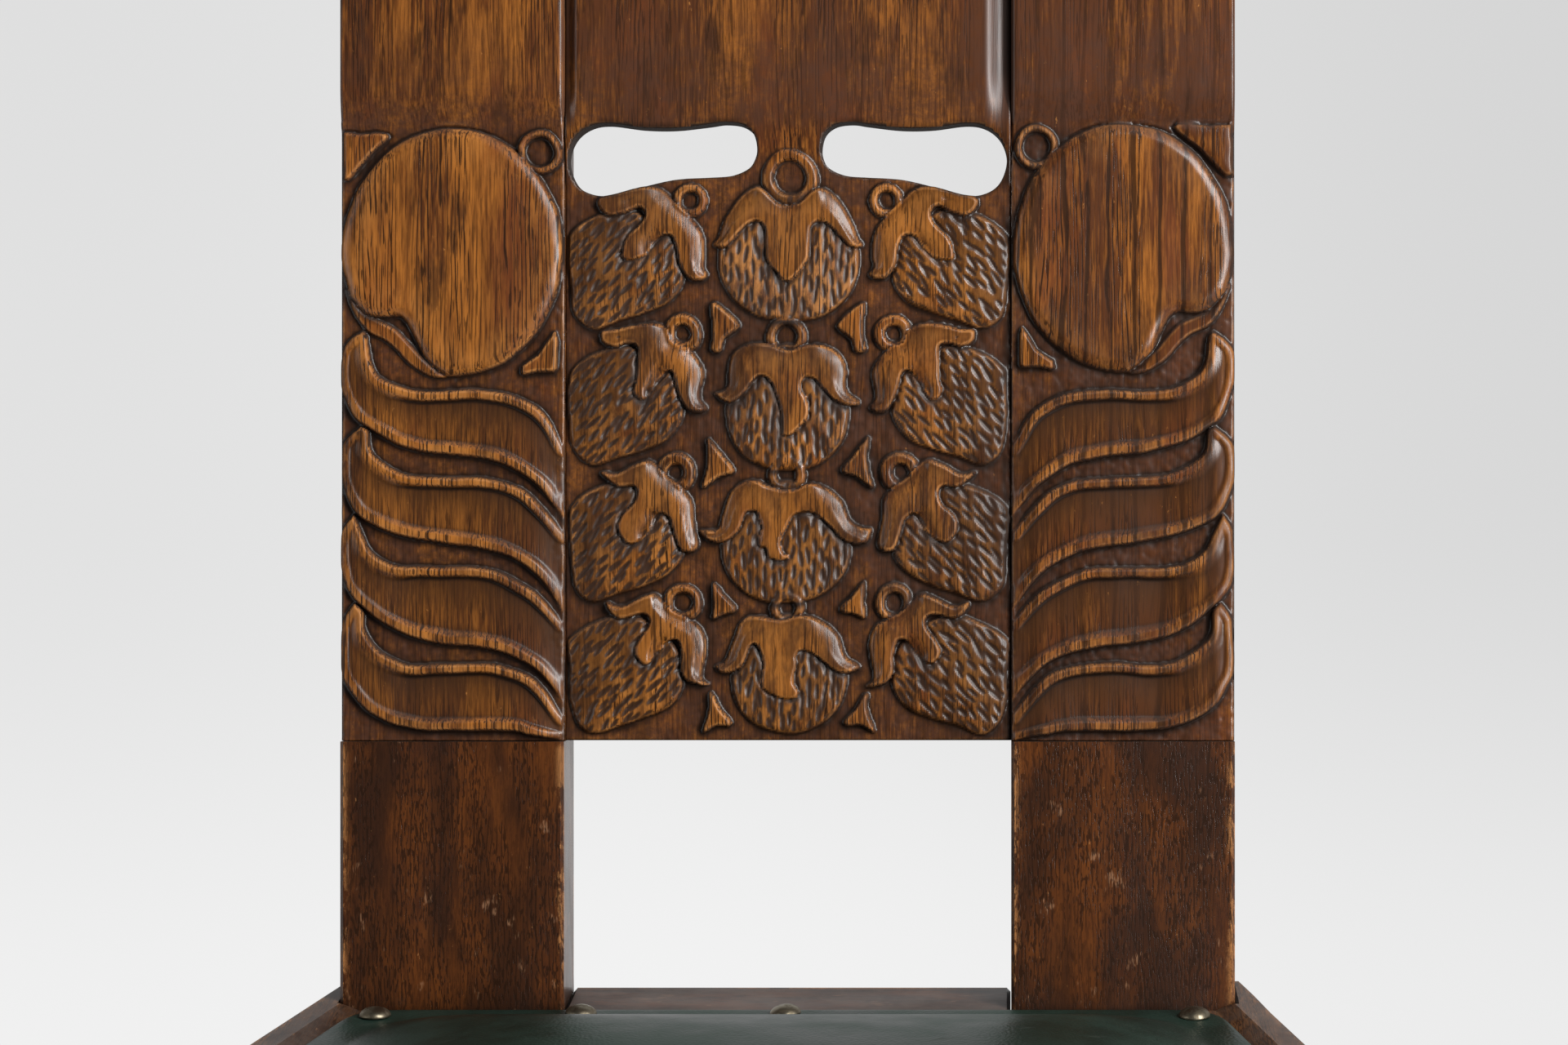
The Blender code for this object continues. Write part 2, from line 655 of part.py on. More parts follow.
def make_stretchers(posts, frame):
    """Side stretchers housed in the legs, and a cross stretcher housed in them."""
    size = (STRETCHER_WIDTH, STRETCHER_HEIGHT)
    drop = 1 - STRETCHER_RISE / RAIL_BOTTOM
    rear_face = (RAIL_BOTTOM - STRETCHER_RISE) * math.tan(REAR_LEG_RAKE)
    rear_width = POST_WIDTH - (POST_WIDTH - POST_FOOT_WIDTH) * drop
    leg_size = RAIL_WIDTH - (RAIL_WIDTH - LEG_FOOT) * drop
    bars = {}
    for side, sign in SIDES:
        start = Vector((sign * (BACK_HALF - rear_width / 2), rear_face + STRETCHER_HOUSING, STRETCHER_RISE))
        front_face = -SEAT_DEPTH + leg_size
        end = Vector((sign * (FRONT_HALF - leg_size / 2), front_face - STRETCHER_HOUSING, STRETCHER_RISE))
        name = f"{side}_stretcher"
        bars[side] = add_part(name, slanted_box(name, start, end, *size), DARK_OAK)
        soften(bars[side])
        housing = slanted_box(f"{name}_housing", start, end, *size, grow=CLEARANCE)
        housing = add_cutter(f"{name}_housing", housing)
        cut(posts[side][0], housing)
        cut(frame[f"{side}_leg"], housing)
        middle = (start + end) / 2
    reach = abs(middle.x) - STRETCHER_WIDTH / 2 + CROSS_HOUSING
    ends = (Vector((-reach, middle.y, middle.z)), Vector((reach, middle.y, middle.z)))
    cross = add_part("cross_stretcher", slanted_box("cross_stretcher", *ends, *size), DARK_OAK)
    soften(cross)
    housing = add_cutter("cross_housing", slanted_box("cross_housing", *ends, *size, grow=CLEARANCE))
    for bar in bars.values():
        cut(bar, housing)


def turned_mesh(name, profile):
    """The half profile of a turned piece, from its top down; a Screw modifier spins it."""
    mesh = bpy.data.meshes.new(name)
    shape = bmesh.new()
    dots = [shape.verts.new((r, 0, z)) for r, z in profile]
    for above, below in zip(dots, dots[1:]):
        shape.edges.new((above, below))
    shape.to_mesh(mesh)
    shape.free()
    return mesh


def spin(part, steps):
    screw = part.modifiers.new("turned", "SCREW")
    screw.steps = steps
    screw.render_steps = steps
    screw.use_merge_vertices = True
    screw.merge_threshold = 0.00001


def make_corner_blocks(frame):
    """Glued blocks in the seat frame's corners, each with one screw into either rail."""
    top = RAIL_TOP - BLOCK_DROP
    along_end = Vector((-1, 0))
    for end, corner_y, inward in (("rear", REAR_RAIL_FRONT, -1), ("front", LEG_BACK, 1)):
        corner, further = (
            Vector((side_edge(y) - RAIL_WIDTH, y)) for y in (corner_y, corner_y + inward * BLOCK_SIDE)
        )
        along_side = (further - corner).normalized()
        into_side = Vector((along_side.y, -along_side.x)) * inward
        into_end = Vector((0, -inward))
        heart = corner - (into_side + into_end) * 2 * CLEARANCE
        for side, sign in SIDES:
            flip = Matrix.Diagonal((sign, 1))
            corners = (heart, heart + along_side * BLOCK_SIDE, heart + along_end * BLOCK_SIDE)
            name = f"{end}_{side}_block"
            mesh = outline_mesh(name, [tuple(flip @ p) for p in corners], BLOCK_HEIGHT)
            block = add_part(name, mesh, PLAIN_OAK)
            block.location.z = top - BLOCK_HEIGHT / 2
            drives = (
                (along_side, into_side, side, SCREW_STAGGER), (along_end, into_end, end, -SCREW_STAGGER),
            )
            for number, (along, into, rail, lift) in enumerate(drives, 1):
                face = flip @ (heart + along * SCREW_STEP)
                height = block.location.z + lift
                pierce(f"{name}_screw_{number}", face, flip @ into, height, block, frame[rail])


def pierce(name, face, into, z, block, rail):
    """A round-shanked screw through a block into a rail, with its hole and the pocket over its head."""
    seat = SCREW_LENGTH - SCREW_BITE
    axis = Vector((into.x, into.y, 0))
    face = Vector((face.x, face.y, z))
    head = face - axis * seat
    tip = face + axis * SCREW_BITE
    profile = (
        (0, 0), (SCREW_HEAD_RADIUS, 0), (SCREW_RADIUS, -SCREW_HEAD_HEIGHT),
        (SCREW_RADIUS, -SCREW_LENGTH + SCREW_HEAD_HEIGHT), (0, -SCREW_LENGTH),
    )
    screw = add_part(name, turned_mesh(name, profile), STEEL)
    screw.location = head
    screw.rotation_euler = (-axis).to_track_quat("Z", "Y").to_euler()
    spin(screw, 10)
    hole = rod_mesh(f"{name}_hole", SCREW_RADIUS + CLEARANCE, head, tip + axis * CLEARANCE, 10)
    hole = add_cutter(f"{name}_hole", hole)
    outside = head - axis * BLOCK_SIDE
    floor = head + axis * (SCREW_HEAD_HEIGHT + CLEARANCE)
    pocket = rod_mesh(f"{name}_pocket", SCREW_HEAD_RADIUS + 2 * CLEARANCE, outside, floor, 12)
    pocket = add_cutter(f"{name}_pocket", pocket)
    cut(block, hole)
    cut(block, pocket)
    cut(rail, hole)


def strap_places(count, low, high):
    """Centres of straps spread evenly between two edges."""
    step = (high - low) / count
    return [low + step * (i + 0.5) for i in range(count)]


def strap_mesh(name, start, end, crossings, over_first):
    """A strap along X, that climbs over every other strap it crosses."""
    segments = 8 * (len(crossings) + 1)
    shape = bmesh.new()
    bmesh.ops.create_grid(shape, x_segments=segments, y_segments=1, size=0.5)
    bmesh.ops.scale(shape, vec=(end - start, STRAP_WIDTH, 1), verts=shape.verts)
    bmesh.ops.translate(shape, vec=((start + end) / 2, 0, 0), verts=shape.verts)
    gap = min(abs(b - a) for a, b in zip(crossings, crossings[1:])) - STRAP_WIDTH
    for dot in shape.verts:
        lift = 0.0
        for number, place in enumerate(crossings):
            if (number % 2 == 0) == over_first:
                beyond = max(0.0, abs(dot.co.x - place) - STRAP_WIDTH / 2 - gap * (1 - STRAP_CLIMB) / 2)
                lift = max(lift, 1 - min(1.0, beyond / (gap * STRAP_CLIMB)))
        dot.co.z = STRAP_LOW + STRAP_STEP * lift
    mesh = bpy.data.meshes.new(name)
    shape.to_mesh(mesh)
    shape.free()
    return mesh


def make_webbing():
    """Interlaced straps that lie on the rebate's floor, lengthwise ones first."""
    back_end = SEAT_BACK_LINE - PAD_INSET
    front_end = -SEAT_DEPTH + PAD_INSET
    narrow = side_edge(REAR_RAIL_FRONT) - RAIL_WIDTH
    columns = strap_places(STRAP_COUNT, -narrow, narrow)
    rows = strap_places(STRAP_COUNT, LEG_BACK, REAR_RAIL_FRONT)
    for number, x in enumerate(columns):
        name = f"long_strap_{number + 1}"
        strap = add_part(name, strap_mesh(name, front_end, back_end, rows, number % 2 == 0), JUTE)
        strap.rotation_euler.z = math.pi / 2
        strap.location.x = x
        thicken(strap)
    for number, y in enumerate(rows):
        name = f"cross_strap_{number + 1}"
        half = side_edge(y + STRAP_WIDTH / 2) - PAD_INSET
        strap = add_part(name, strap_mesh(name, -half, half, columns, number % 2 == 1), JUTE)
        strap.location.y = y
        thicken(strap)


def thicken(strap):
    solid = strap.modifiers.new("webbing", "SOLIDIFY")
    solid.thickness = STRAP_THICKNESS
    solid.offset = 1.0


def make_upholstery():
    """Hessian over the webbing, the crowned stuffing, and the leather over both and on the rails."""
    cloth = [seat_ring(PAD_INSET, z) for z in (CLOTH_BOTTOM, CLOTH_BOTTOM + CLOTH_THICKNESS)]
    add_part("base_cloth", loft_mesh("base_cloth", cloth), HESSIAN)

    edge = seat_ring(PAD_INSET, RAIL_TOP)
    pad_skin = crown_rings(edge, 0)
    pad = [seat_ring(PAD_INSET, PAD_BOTTOM), *pad_skin]
    add_part("seat_pad", loft_mesh("seat_pad", pad), STUFFING)

    under = [seat_ring(LEATHER_MARGIN, RAIL_TOP + CLEARANCE), *crown_rings(edge, CLEARANCE)]
    lift = CLEARANCE + LEATHER_THICKNESS
    over = [seat_ring(LEATHER_MARGIN, RAIL_TOP + lift), *crown_rings(edge, lift)]
    leather = add_part("seat_leather", loft_mesh("seat_leather", [*reversed(under), *over]), LEATHER)
    return leather


def nail_places():
    """Plan points of the nails: the four corners, and even steps along each side between them."""
    inset = LEATHER_MARGIN + NAIL_INSET
    back, front = seat_corners(inset + SEAT_CORNER / 4)
    back_steps = max(1, round(2 * back.x / NAIL_PITCH))
    side_steps = max(1, round((back.y - front.y) / NAIL_PITCH))
    front_steps = max(1, round(2 * front.x / NAIL_PITCH))
    row = [Vector((x, SEAT_BACK_LINE - inset)) for x in spread(-back.x, back.x, back_steps + 1)[1:-1]]
    lost = row[-1]
    places = [p for p in row if p != lost]
    places += [Vector((x, front_edge(x) + inset)) for x in spread(-front.x, front.x, front_steps + 1)[1:-1]]
    for _, sign in SIDES:
        places += [Vector((sign * back.x, back.y)), Vector((sign * front.x, front.y))]
        for y in spread(back.y, front.y, side_steps + 1)[1:-1]:
            places.append(Vector((sign * (side_edge(y) - inset), y)))
    return places


def make_nails(frame, leather):
    """Dome nails through the leather into the rails; the place beside the right post has lost its nail."""
    seat = RAIL_TOP + LEATHER_THICKNESS + 2 * CLEARANCE
    dome = [(NAIL_RADIUS * math.sin(a), NAIL_DOME * math.cos(a)) for a in spread(0, math.pi / 2, 4)]
    shank = [(NAIL_SHANK_RADIUS, 0), (NAIL_SHANK_RADIUS, NAIL_POINT - NAIL_LENGTH), (0, -NAIL_LENGTH)]
    mesh = turned_mesh("seat_nail", [*dome, *shank])
    for number, place in enumerate(nail_places(), 1):
        nail = add_part(f"seat_nail_{number:02d}", mesh, BRASS)
        nail.location = (place.x, place.y, seat)
        spin(nail, 12)
        low = (place.x, place.y, seat - NAIL_LENGTH - CLEARANCE)
        high = (place.x, place.y, seat + NAIL_DOME)
        hole = rod_mesh(f"nail_hole_{number:02d}", NAIL_SHANK_RADIUS + CLEARANCE, low, high, 8)
        add_cutter(f"nail_hole_{number:02d}", hole, group=nail_holes)
    cut_nail_holes(leather)
    for piece in frame.values():
        cut_nail_holes(piece)


def centre_footprint():
    """Moves the chair so that the middle of its footprint is the origin."""
    bpy.context.view_layer.update()
    graph = bpy.context.evaluated_depsgraph_get()
    depths = []
    for part in chair.objects:
        if part.type == "MESH":
            solid = part.evaluated_get(graph)
            depths += [(solid.matrix_world @ Vector(corner)).y for corner in solid.bound_box]
    seat_frame.location.y = -(min(depths) + max(depths)) / 2


posts = make_posts()
groove = make_panel()
make_stiles(posts, groove)
make_crest(posts, groove)
frame = make_rails(posts)
make_stretchers(posts, frame)
make_corner_blocks(frame)
make_webbing()
make_nails(frame, make_upholstery())
centre_footprint()
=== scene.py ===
"""Dresses the carved oak chair: its carving, leather seat, nails, webbing and finishes, and the studio."""

import math

import bmesh
import bpy
import numpy as np
from mathutils import Matrix, Vector


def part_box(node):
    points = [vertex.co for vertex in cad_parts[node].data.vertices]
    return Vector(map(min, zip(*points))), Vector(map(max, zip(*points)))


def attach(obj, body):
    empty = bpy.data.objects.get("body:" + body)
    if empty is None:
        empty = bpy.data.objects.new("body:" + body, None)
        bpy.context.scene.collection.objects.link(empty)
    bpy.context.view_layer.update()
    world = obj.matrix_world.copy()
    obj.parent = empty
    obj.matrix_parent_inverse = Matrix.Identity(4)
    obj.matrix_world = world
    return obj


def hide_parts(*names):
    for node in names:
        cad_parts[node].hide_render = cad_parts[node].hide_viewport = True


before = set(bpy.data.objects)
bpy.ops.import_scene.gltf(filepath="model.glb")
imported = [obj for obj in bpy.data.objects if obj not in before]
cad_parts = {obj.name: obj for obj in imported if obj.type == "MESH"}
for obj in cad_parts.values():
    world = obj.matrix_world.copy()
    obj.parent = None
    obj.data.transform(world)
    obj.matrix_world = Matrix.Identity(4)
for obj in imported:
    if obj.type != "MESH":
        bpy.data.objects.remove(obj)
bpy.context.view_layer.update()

bl_info = {
    "name": "Carved Oak Chair",
    "version": (1, 0, 0),
    "blender": (4, 5, 0),
    "location": "View3D > Sidebar > Chair",
    "description": "Carving, upholstery and finishes for a tall-backed oak chair",
    "category": "Object",
}

# Where the back stands: its plane leans back from the top of the rear rail
POST_DEPTH = 0.040
BACK_RAKE = math.radians(7.5)
RAIL_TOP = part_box("rear_seat_rail")[1].z
POST_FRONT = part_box("rear_seat_rail")[1].y - POST_DEPTH
BACK = Matrix.Translation((0, POST_FRONT, RAIL_TOP)) @ Matrix.Rotation(-BACK_RAKE, 4, "X")
MM = 0.001

# The seat, in metres: the lift of its margin, how far the cover may swell over the leather's top, the
# crown's curve, the thickness of leather and hessian, and the dimples round the nails
COVER_LIFT = 0.0021
COVER_SWELL = 0.002
CROWN_POWER = 3.5
COVER_THICKNESS = 0.0017
HESSIAN_THICKNESS = 0.0009
DIMPLE_DEPTH = 0.0016
DIMPLE_AWAY = 0.012
DIMPLE_WIDTH = 0.006

# Wear, in metres: how far over the seat scuffs reach, how wide edges are worn, where the mottle fades
SCUFF_REACH = 0.07
EDGE_WEAR = 0.0055
MOTTLE_FADE = (0.735, 0.760)

# Board sizes in millimetres, across, back from the face, and up from the boards' foot
BOARD_FOOT = 120.3
BOARD_LENGTH = 469.4
STILE_CENTRE = 150.0
STILE_HALF = 50.0
STILE_BACK = 20.0
PANEL_HALF = 99.7
PANEL_FRONT = 2.0
PANEL_BACK = 18.0
RUN_OUT_TOP = 300.0

# The panel's tongue and the stiles' groove: reach sideways, front and back
TONGUE = (8.0, 7.0, 13.0)
GROOVE = (8.3, 6.7, 13.3)

# How far up each board is carved, and where its sunk ground climbs to the plain face
STILE_CARVED = 276.0
STILE_CLIMB = (267.0, 292.0)
PANEL_CARVED = 266.0
PANEL_CLIMB = (246.0, 290.0)

# Tool marks: the groove round a raised form, the rim and hollow of a leaf, the pitch of gouge strokes,
# the rounded edge of the hand slots
GROOVE_CUT = 1.3
GROOVE_REACH = 2.2
LEAF_RIM = 3.6
LEAF_HOLLOW = 3.1
ROW_PITCH = 3.2
STROKE_PITCH = 9.4
SLOT_EDGE = 0.7

# Carving on a stile, measured from the middle of the board: outer edge at -50, inner edge at +50
DISC_CENTRE = (0.0, 218.5)
DISC_RADII = (49.4, 55.7)
DISC_NOTCH = (
    (-45.2, 197.6), (-37.9, 190.7), (-29.9, 189.2), (-24.4, 189.9), (-20.3, 187.4), (-17.4, 181.9),
    (-14.8, 176.4), (-11.9, 170.9), (-6.5, 165.6),
)
CRESCENT = (
    (-48.2, 202.4), (-44.5, 192.1), (-37.9, 183.3), (-30.2, 179.3), (-24.4, 174.5), (-19.6, 169.0),
    (-11.9, 163.8), (-4.6, 162.3), (-1.5, 163.4), (-5.3, 170.0), (-12.0, 182.0), (-22.0, 194.0),
    (-40.0, 200.0),
)
CRESCENT_HOLE = (
    (-41.0, 192.6), (-33.0, 190.0), (-24.4, 190.4), (-19.4, 187.4), (-16.0, 180.5), (-12.6, 173.0),
    (-8.0, 167.6), (-14.5, 171.6), (-20.0, 177.4), (-25.5, 183.0), (-33.0, 187.0),
)
STILE_RING = (39.0, 263.6, 6.6, 9.9)
SPANDREL_CORNER = (-49.0, 249.0)
OUTER_SPANDREL = (
    (-49.0, 272.6), (-41.0, 271.6), (-34.0, 272.4), (-29.6, 271.8), (-28.2, 270.4), (-29.4, 268.6),
    (-35.0, 263.8), (-42.0, 256.4), (-46.4, 250.4), (-49.0, 250.0),
)
INNER_SPANDREL = (
    (45.6, 183.4), (46.8, 179.0), (46.6, 166.2), (45.4, 164.9), (38.0, 165.3), (32.0, 164.0),
    (30.7, 164.8), (31.0, 168.0), (38.5, 173.2),
)
LEAVES = (
    (
        ((-39.7, 183.5), (-37.9, 180.6), (-36.4, 169.4), (-31.7, 162.5), (-22.5, 158.1), (-11.5, 156.6),
         (11.2, 157.0), (25.8, 155.1), (37.2, 150.0), (43.8, 143.0), (50.0, 132.0)),
        ((-39.7, 183.5), (-46.0, 179.5), (-50.0, 173.0), (-50.0, 158.0), (-44.9, 146.0), (-37.5, 139.4),
         (-24.7, 132.8), (-11.5, 129.1), (15.6, 125.8), (27.7, 121.4), (38.6, 113.4), (44.5, 105.7),
         (50.0, 98.0)),
    ),
    (
        ((-41.2, 141.0), (-37.9, 138.6), (-36.8, 131.3), (-33.9, 126.6), (-26.2, 121.4), (-15.2, 118.5),
         (14.8, 117.4), (29.9, 113.4), (40.8, 104.2), (50.0, 93.0)),
        ((-41.2, 141.0), (-47.0, 136.0), (-50.0, 130.0), (-50.0, 116.0), (-44.1, 102.7), (-34.6, 96.2),
         (-18.9, 90.7), (11.2, 86.3), (22.2, 83.3), (33.5, 77.5), (41.9, 68.7), (50.0, 55.5)),
    ),
    (
        ((-44.5, 101.8), (-39.7, 91.4), (-36.8, 85.5), (-31.0, 80.8), (-20.3, 77.8), (5.7, 77.8),
         (18.5, 76.0), (29.9, 71.2), (39.4, 64.7), (50.0, 53.5)),
        ((-44.5, 101.8), (-48.6, 96.0), (-50.0, 90.0), (-49.4, 72.0), (-44.9, 63.9), (-39.0, 58.4),
         (-30.2, 51.8), (-18.9, 46.7), (-3.8, 43.4), (11.2, 41.9), (22.2, 39.7), (33.5, 34.6),
         (42.3, 26.6), (50.0, 15.0)),
    ),
    (
        ((-44.0, 61.8), (-40.1, 57.7), (-39.4, 49.6), (-33.9, 41.9), (-26.2, 36.8), (-16.7, 33.9),
         (8.6, 35.0), (20.7, 33.9), (32.1, 30.2), (40.8, 23.3), (50.0, 11.0)),
        ((-44.0, 61.8), (-48.4, 56.0), (-50.0, 50.0), (-50.0, 31.0), (-45.6, 21.8), (-39.7, 14.5),
         (-30.2, 8.6), (-18.9, 5.3), (-3.8, 4.2), (25.8, 4.2), (33.5, 2.4), (42.0, 0.4), (50.0, -1.0)),
    ),
)

# Carving on the panel, measured from its middle; the side columns are given for the left
CENTRE_FRUITS = (
    (0.4, 216.5, 31.5, 28.8), (-0.4, 149.1, 27.5, 28.4), (-1.1, 89.0, 29.3, 27.3), (0.4, 30.0, 26.0, 26.6),
)
CENTRE_RINGS = (
    (0.7, 252.6, 7.3, 12.8), (-0.7, 180.8, 5.1, 9.2), (-0.4, 118.9, 4.4, 8.8), (-0.4, 59.2, 3.7, 7.8),
)
POINTED_CAP = (
    (0.0, 240.2), (5.0, 241.6), (13.2, 248.2), (21.2, 243.8), (27.5, 234.6), (31.1, 225.8), (33.4, 222.2),
    (28.2, 221.4), (23.8, 225.1), (17.6, 231.3), (13.2, 232.4), (10.3, 229.5), (9.9, 222.2), (8.4, 214.5),
    (0.0, 205.7),
)
ROUND_CAPS = (
    (
        (1.0, 175.0), (8.2, 177.1), (14.3, 177.5), (20.4, 175.0), (24.6, 170.8), (26.2, 165.3),
        (25.6, 159.9), (26.8, 155.6), (32.2, 151.4), (28.9, 150.0), (24.6, 150.5), (20.4, 152.6),
        (16.7, 156.2), (12.5, 161.1), (8.8, 162.9), (6.8, 161.7), (6.2, 158.1), (8.8, 152.4),
        (9.7, 148.3), (8.6, 143.9), (2.2, 137.1), (-0.3, 136.2), (-2.4, 137.4), (-2.8, 143.5),
        (-4.1, 152.6), (-6.9, 159.9), (-11.2, 163.3), (-14.6, 162.1), (-19.7, 155.6), (-23.3, 152.4),
        (-26.9, 151.1), (-30.6, 153.2), (-32.8, 155.6), (-29.6, 156.5), (-27.4, 159.1), (-27.2, 164.1),
        (-26.0, 170.2), (-23.6, 174.1), (-19.1, 176.9), (-13.0, 178.1), (-6.9, 177.1),
    ),
    (
        (-2.0, 112.3), (3.5, 112.4), (7.7, 114.7), (11.3, 115.3), (15.0, 114.2), (19.8, 111.3),
        (24.1, 107.2), (26.7, 101.3), (29.5, 97.7), (33.8, 95.5), (37.2, 94.9), (36.2, 90.1),
        (32.6, 88.6), (28.3, 89.0), (24.1, 91.0), (18.0, 97.1), (13.4, 101.0), (9.5, 102.3), (5.6, 101.9),
        (2.0, 99.9), (-0.8, 94.7), (-2.7, 91.6), (-3.2, 87.7), (-2.0, 84.4), (0.5, 82.5), (-2.0, 80.7),
        (-5.6, 80.7), (-8.7, 82.5), (-10.0, 86.1), (-12.6, 87.0), (-13.2, 90.4), (-11.8, 95.5),
        (-14.0, 102.2), (-16.6, 103.0), (-19.0, 101.9), (-21.3, 96.0), (-24.4, 92.2), (-28.7, 89.4),
        (-32.9, 88.8), (-37.2, 90.7), (-39.6, 94.1), (-33.2, 94.3), (-30.5, 96.5), (-29.7, 101.1),
        (-27.8, 106.7), (-25.1, 111.8), (-21.4, 115.0), (-17.8, 116.5), (-13.5, 116.3), (-9.9, 114.4),
    ),
    (
        (-3.8, 54.2), (1.1, 55.0), (5.9, 56.2), (10.8, 55.8), (15.7, 53.6), (19.9, 50.4), (22.9, 46.1),
        (24.5, 41.0), (26.8, 36.8), (32.4, 33.1), (29.6, 30.9), (25.4, 30.0), (20.5, 31.5), (12.6, 37.9),
        (8.1, 40.0), (5.0, 40.0), (3.5, 37.6), (4.0, 33.6), (2.6, 26.7), (4.3, 23.4), (4.7, 21.0),
        (2.9, 19.1), (-1.3, 18.8), (-6.2, 20.3), (-9.8, 22.7), (-11.6, 26.1), (-10.8, 34.3),
        (-11.9, 39.2), (-14.8, 43.3), (-17.1, 42.1), (-20.1, 34.6), (-23.2, 31.5), (-27.4, 30.3),
        (-31.0, 30.9), (-32.9, 33.4), (-29.7, 34.5), (-27.3, 37.3), (-23.8, 47.3), (-21.7, 52.4),
        (-18.1, 55.4), (-13.5, 56.1), (-8.6, 55.2),
    ),
)
SIDE_BODY = (
    (-98.5, 162.8), (-98.2, 149.0), (-97.4, 137.2), (-94.5, 127.7), (-86.8, 123.3), (-75.5, 126.9),
    (-64.5, 130.2), (-54.6, 134.6), (-48.4, 141.6), (-46.5, 149.0), (-48.7, 161.0), (-59.7, 172.0),
    (-74.4, 177.5), (-82.6, 175.3), (-90.7, 171.6), (-96.6, 167.0),
)
SIDE_BODY_SHIFTS = (61.3, 0.0, -61.0, -120.5)
SIDE_RINGS = (
    (-44.0, 241.9, 4.0, 7.7), (-47.3, 182.2, 3.8, 8.8), (-50.2, 120.0, 3.8, 9.2), (-47.3, 61.7, 4.4, 8.4),
)
SIDE_CAPS = (
    (
        (-85.3, 241.6), (-80.6, 235.3), (-72.2, 236.8), (-67.0, 239.4), (-64.1, 236.8), (-65.6, 232.4),
        (-70.7, 227.3), (-72.9, 223.6), (-74.4, 215.9), (-69.2, 215.2), (-63.4, 217.8), (-59.7, 222.9),
        (-55.7, 226.2), (-52.0, 225.8), (-49.8, 220.7), (-48.4, 213.7), (-44.7, 207.9), (-39.6, 206.8),
        (-35.9, 208.6), (-38.1, 212.3), (-37.7, 218.1), (-38.5, 227.3), (-44.0, 235.3), (-49.8, 240.8),
        (-55.7, 246.7), (-61.9, 248.6), (-70.0, 247.6), (-79.0, 245.4),
    ),
    (
        (-83.5, 183.7), (-82.8, 178.6), (-76.9, 176.4), (-72.2, 177.8), (-67.4, 176.7), (-67.4, 169.8),
        (-67.8, 162.5), (-69.2, 156.2), (-66.7, 152.9), (-63.7, 152.9), (-59.0, 159.9), (-54.6, 165.4),
        (-51.6, 164.7), (-49.8, 158.4), (-47.6, 152.2), (-43.6, 147.4), (-36.3, 148.5), (-39.2, 153.7),
        (-37.7, 163.9), (-40.7, 170.9), (-45.4, 176.0), (-51.6, 178.6), (-54.6, 184.4), (-61.5, 187.0),
        (-70.7, 185.9), (-76.9, 184.4),
    ),
    (
        (-83.9, 120.7), (-79.9, 116.3), (-75.8, 113.7), (-70.0, 114.1), (-67.8, 111.5), (-69.2, 106.4),
        (-74.4, 100.9), (-76.2, 94.7), (-72.2, 88.8), (-66.7, 89.6), (-61.5, 94.7), (-57.5, 101.6),
        (-53.1, 99.5), (-51.6, 94.7), (-47.6, 85.2), (-40.3, 86.6), (-42.1, 99.5), (-42.9, 107.9),
        (-47.6, 114.1), (-54.6, 119.2), (-61.5, 125.5), (-70.0, 123.3), (-77.0, 119.6),
    ),
    (
        (-81.3, 62.5), (-79.1, 57.3), (-74.4, 54.8), (-65.9, 56.6), (-62.3, 55.1), (-62.3, 51.1),
        (-66.7, 44.9), (-68.5, 39.7), (-65.9, 35.0), (-62.3, 34.6), (-58.2, 39.0), (-53.1, 44.5),
        (-49.1, 44.9), (-47.6, 39.0), (-47.6, 31.3), (-44.0, 25.8), (-35.2, 24.4), (-38.5, 28.8),
        (-36.3, 42.7), (-39.2, 51.1), (-46.2, 55.5), (-53.1, 59.5), (-59.0, 65.4), (-65.9, 64.3),
        (-74.0, 60.4),
    ),
)
SPACERS = (
    ((-34.9, 194.7), (-33.0, 196.2), (-28.2, 192.8), (-22.6, 187.2), (-22.0, 185.0), (-25.9, 182.0),
     (-28.7, 179.4), (-29.8, 174.9), (-32.3, 173.4), (-34.9, 175.1), (-34.0, 179.4), (-33.7, 187.1)),
    ((-36.3, 135.3), (-34.4, 134.6), (-29.5, 128.0), (-24.3, 122.0), (-25.0, 119.6), (-30.5, 118.0),
     (-36.8, 113.4), (-38.0, 114.4), (-36.4, 120.0), (-35.8, 128.0)),
    ((-34.0, 70.4), (-32.4, 70.0), (-28.0, 64.5), (-23.2, 59.6), (-24.4, 57.2), (-29.0, 56.6),
     (-33.4, 54.8), (-34.4, 56.0), (-33.6, 62.0)),
    ((-35.8, 20.9), (-33.6, 20.5), (-30.0, 14.0), (-25.4, 8.9), (-26.4, 6.4), (-32.0, 6.6), (-38.0, 3.8),
     (-38.9, 5.2), (-36.4, 11.0), (-35.4, 16.0)),
)
HAND_SLOT = (
    (14.9, 266.0), (16.6, 272.2), (21.5, 276.0), (29.0, 277.0), (36.5, 276.0), (51.0, 274.4),
    (65.0, 274.6), (79.5, 276.4), (88.0, 275.2), (94.4, 270.6), (97.7, 263.4), (97.5, 256.0),
    (94.0, 248.8), (87.5, 244.9), (79.0, 244.4), (66.0, 248.0), (51.0, 251.4), (36.0, 252.4),
    (26.0, 253.2), (18.6, 256.4), (15.6, 261.0),
)
LEFT_SLOT_STRETCH = 1.021
LEFT_SLOT_SHIFT = 1.36

# Where the tool for a hand slot starts and ends, in metres back from the face
CUTTER_DEPTHS = (-0.02, 0.05)


def smooth_loop(points, steps=5):
    """A closed curve through points, as many short straight steps."""
    knots = np.asarray(points, float)
    before = np.roll(knots, 1, axis=0)
    after = np.roll(knots, -1, axis=0)
    beyond = np.roll(knots, -2, axis=0)
    pieces = []
    for t in np.arange(steps) / steps:
        pieces.append(
            0.5 * (2 * knots + (after - before) * t + (2 * before - 5 * knots + 4 * after - beyond) * t**2
                   + (3 * knots - before - 3 * after + beyond) * t**3)
        )
    return np.stack(pieces, axis=1).reshape(-1, 2)


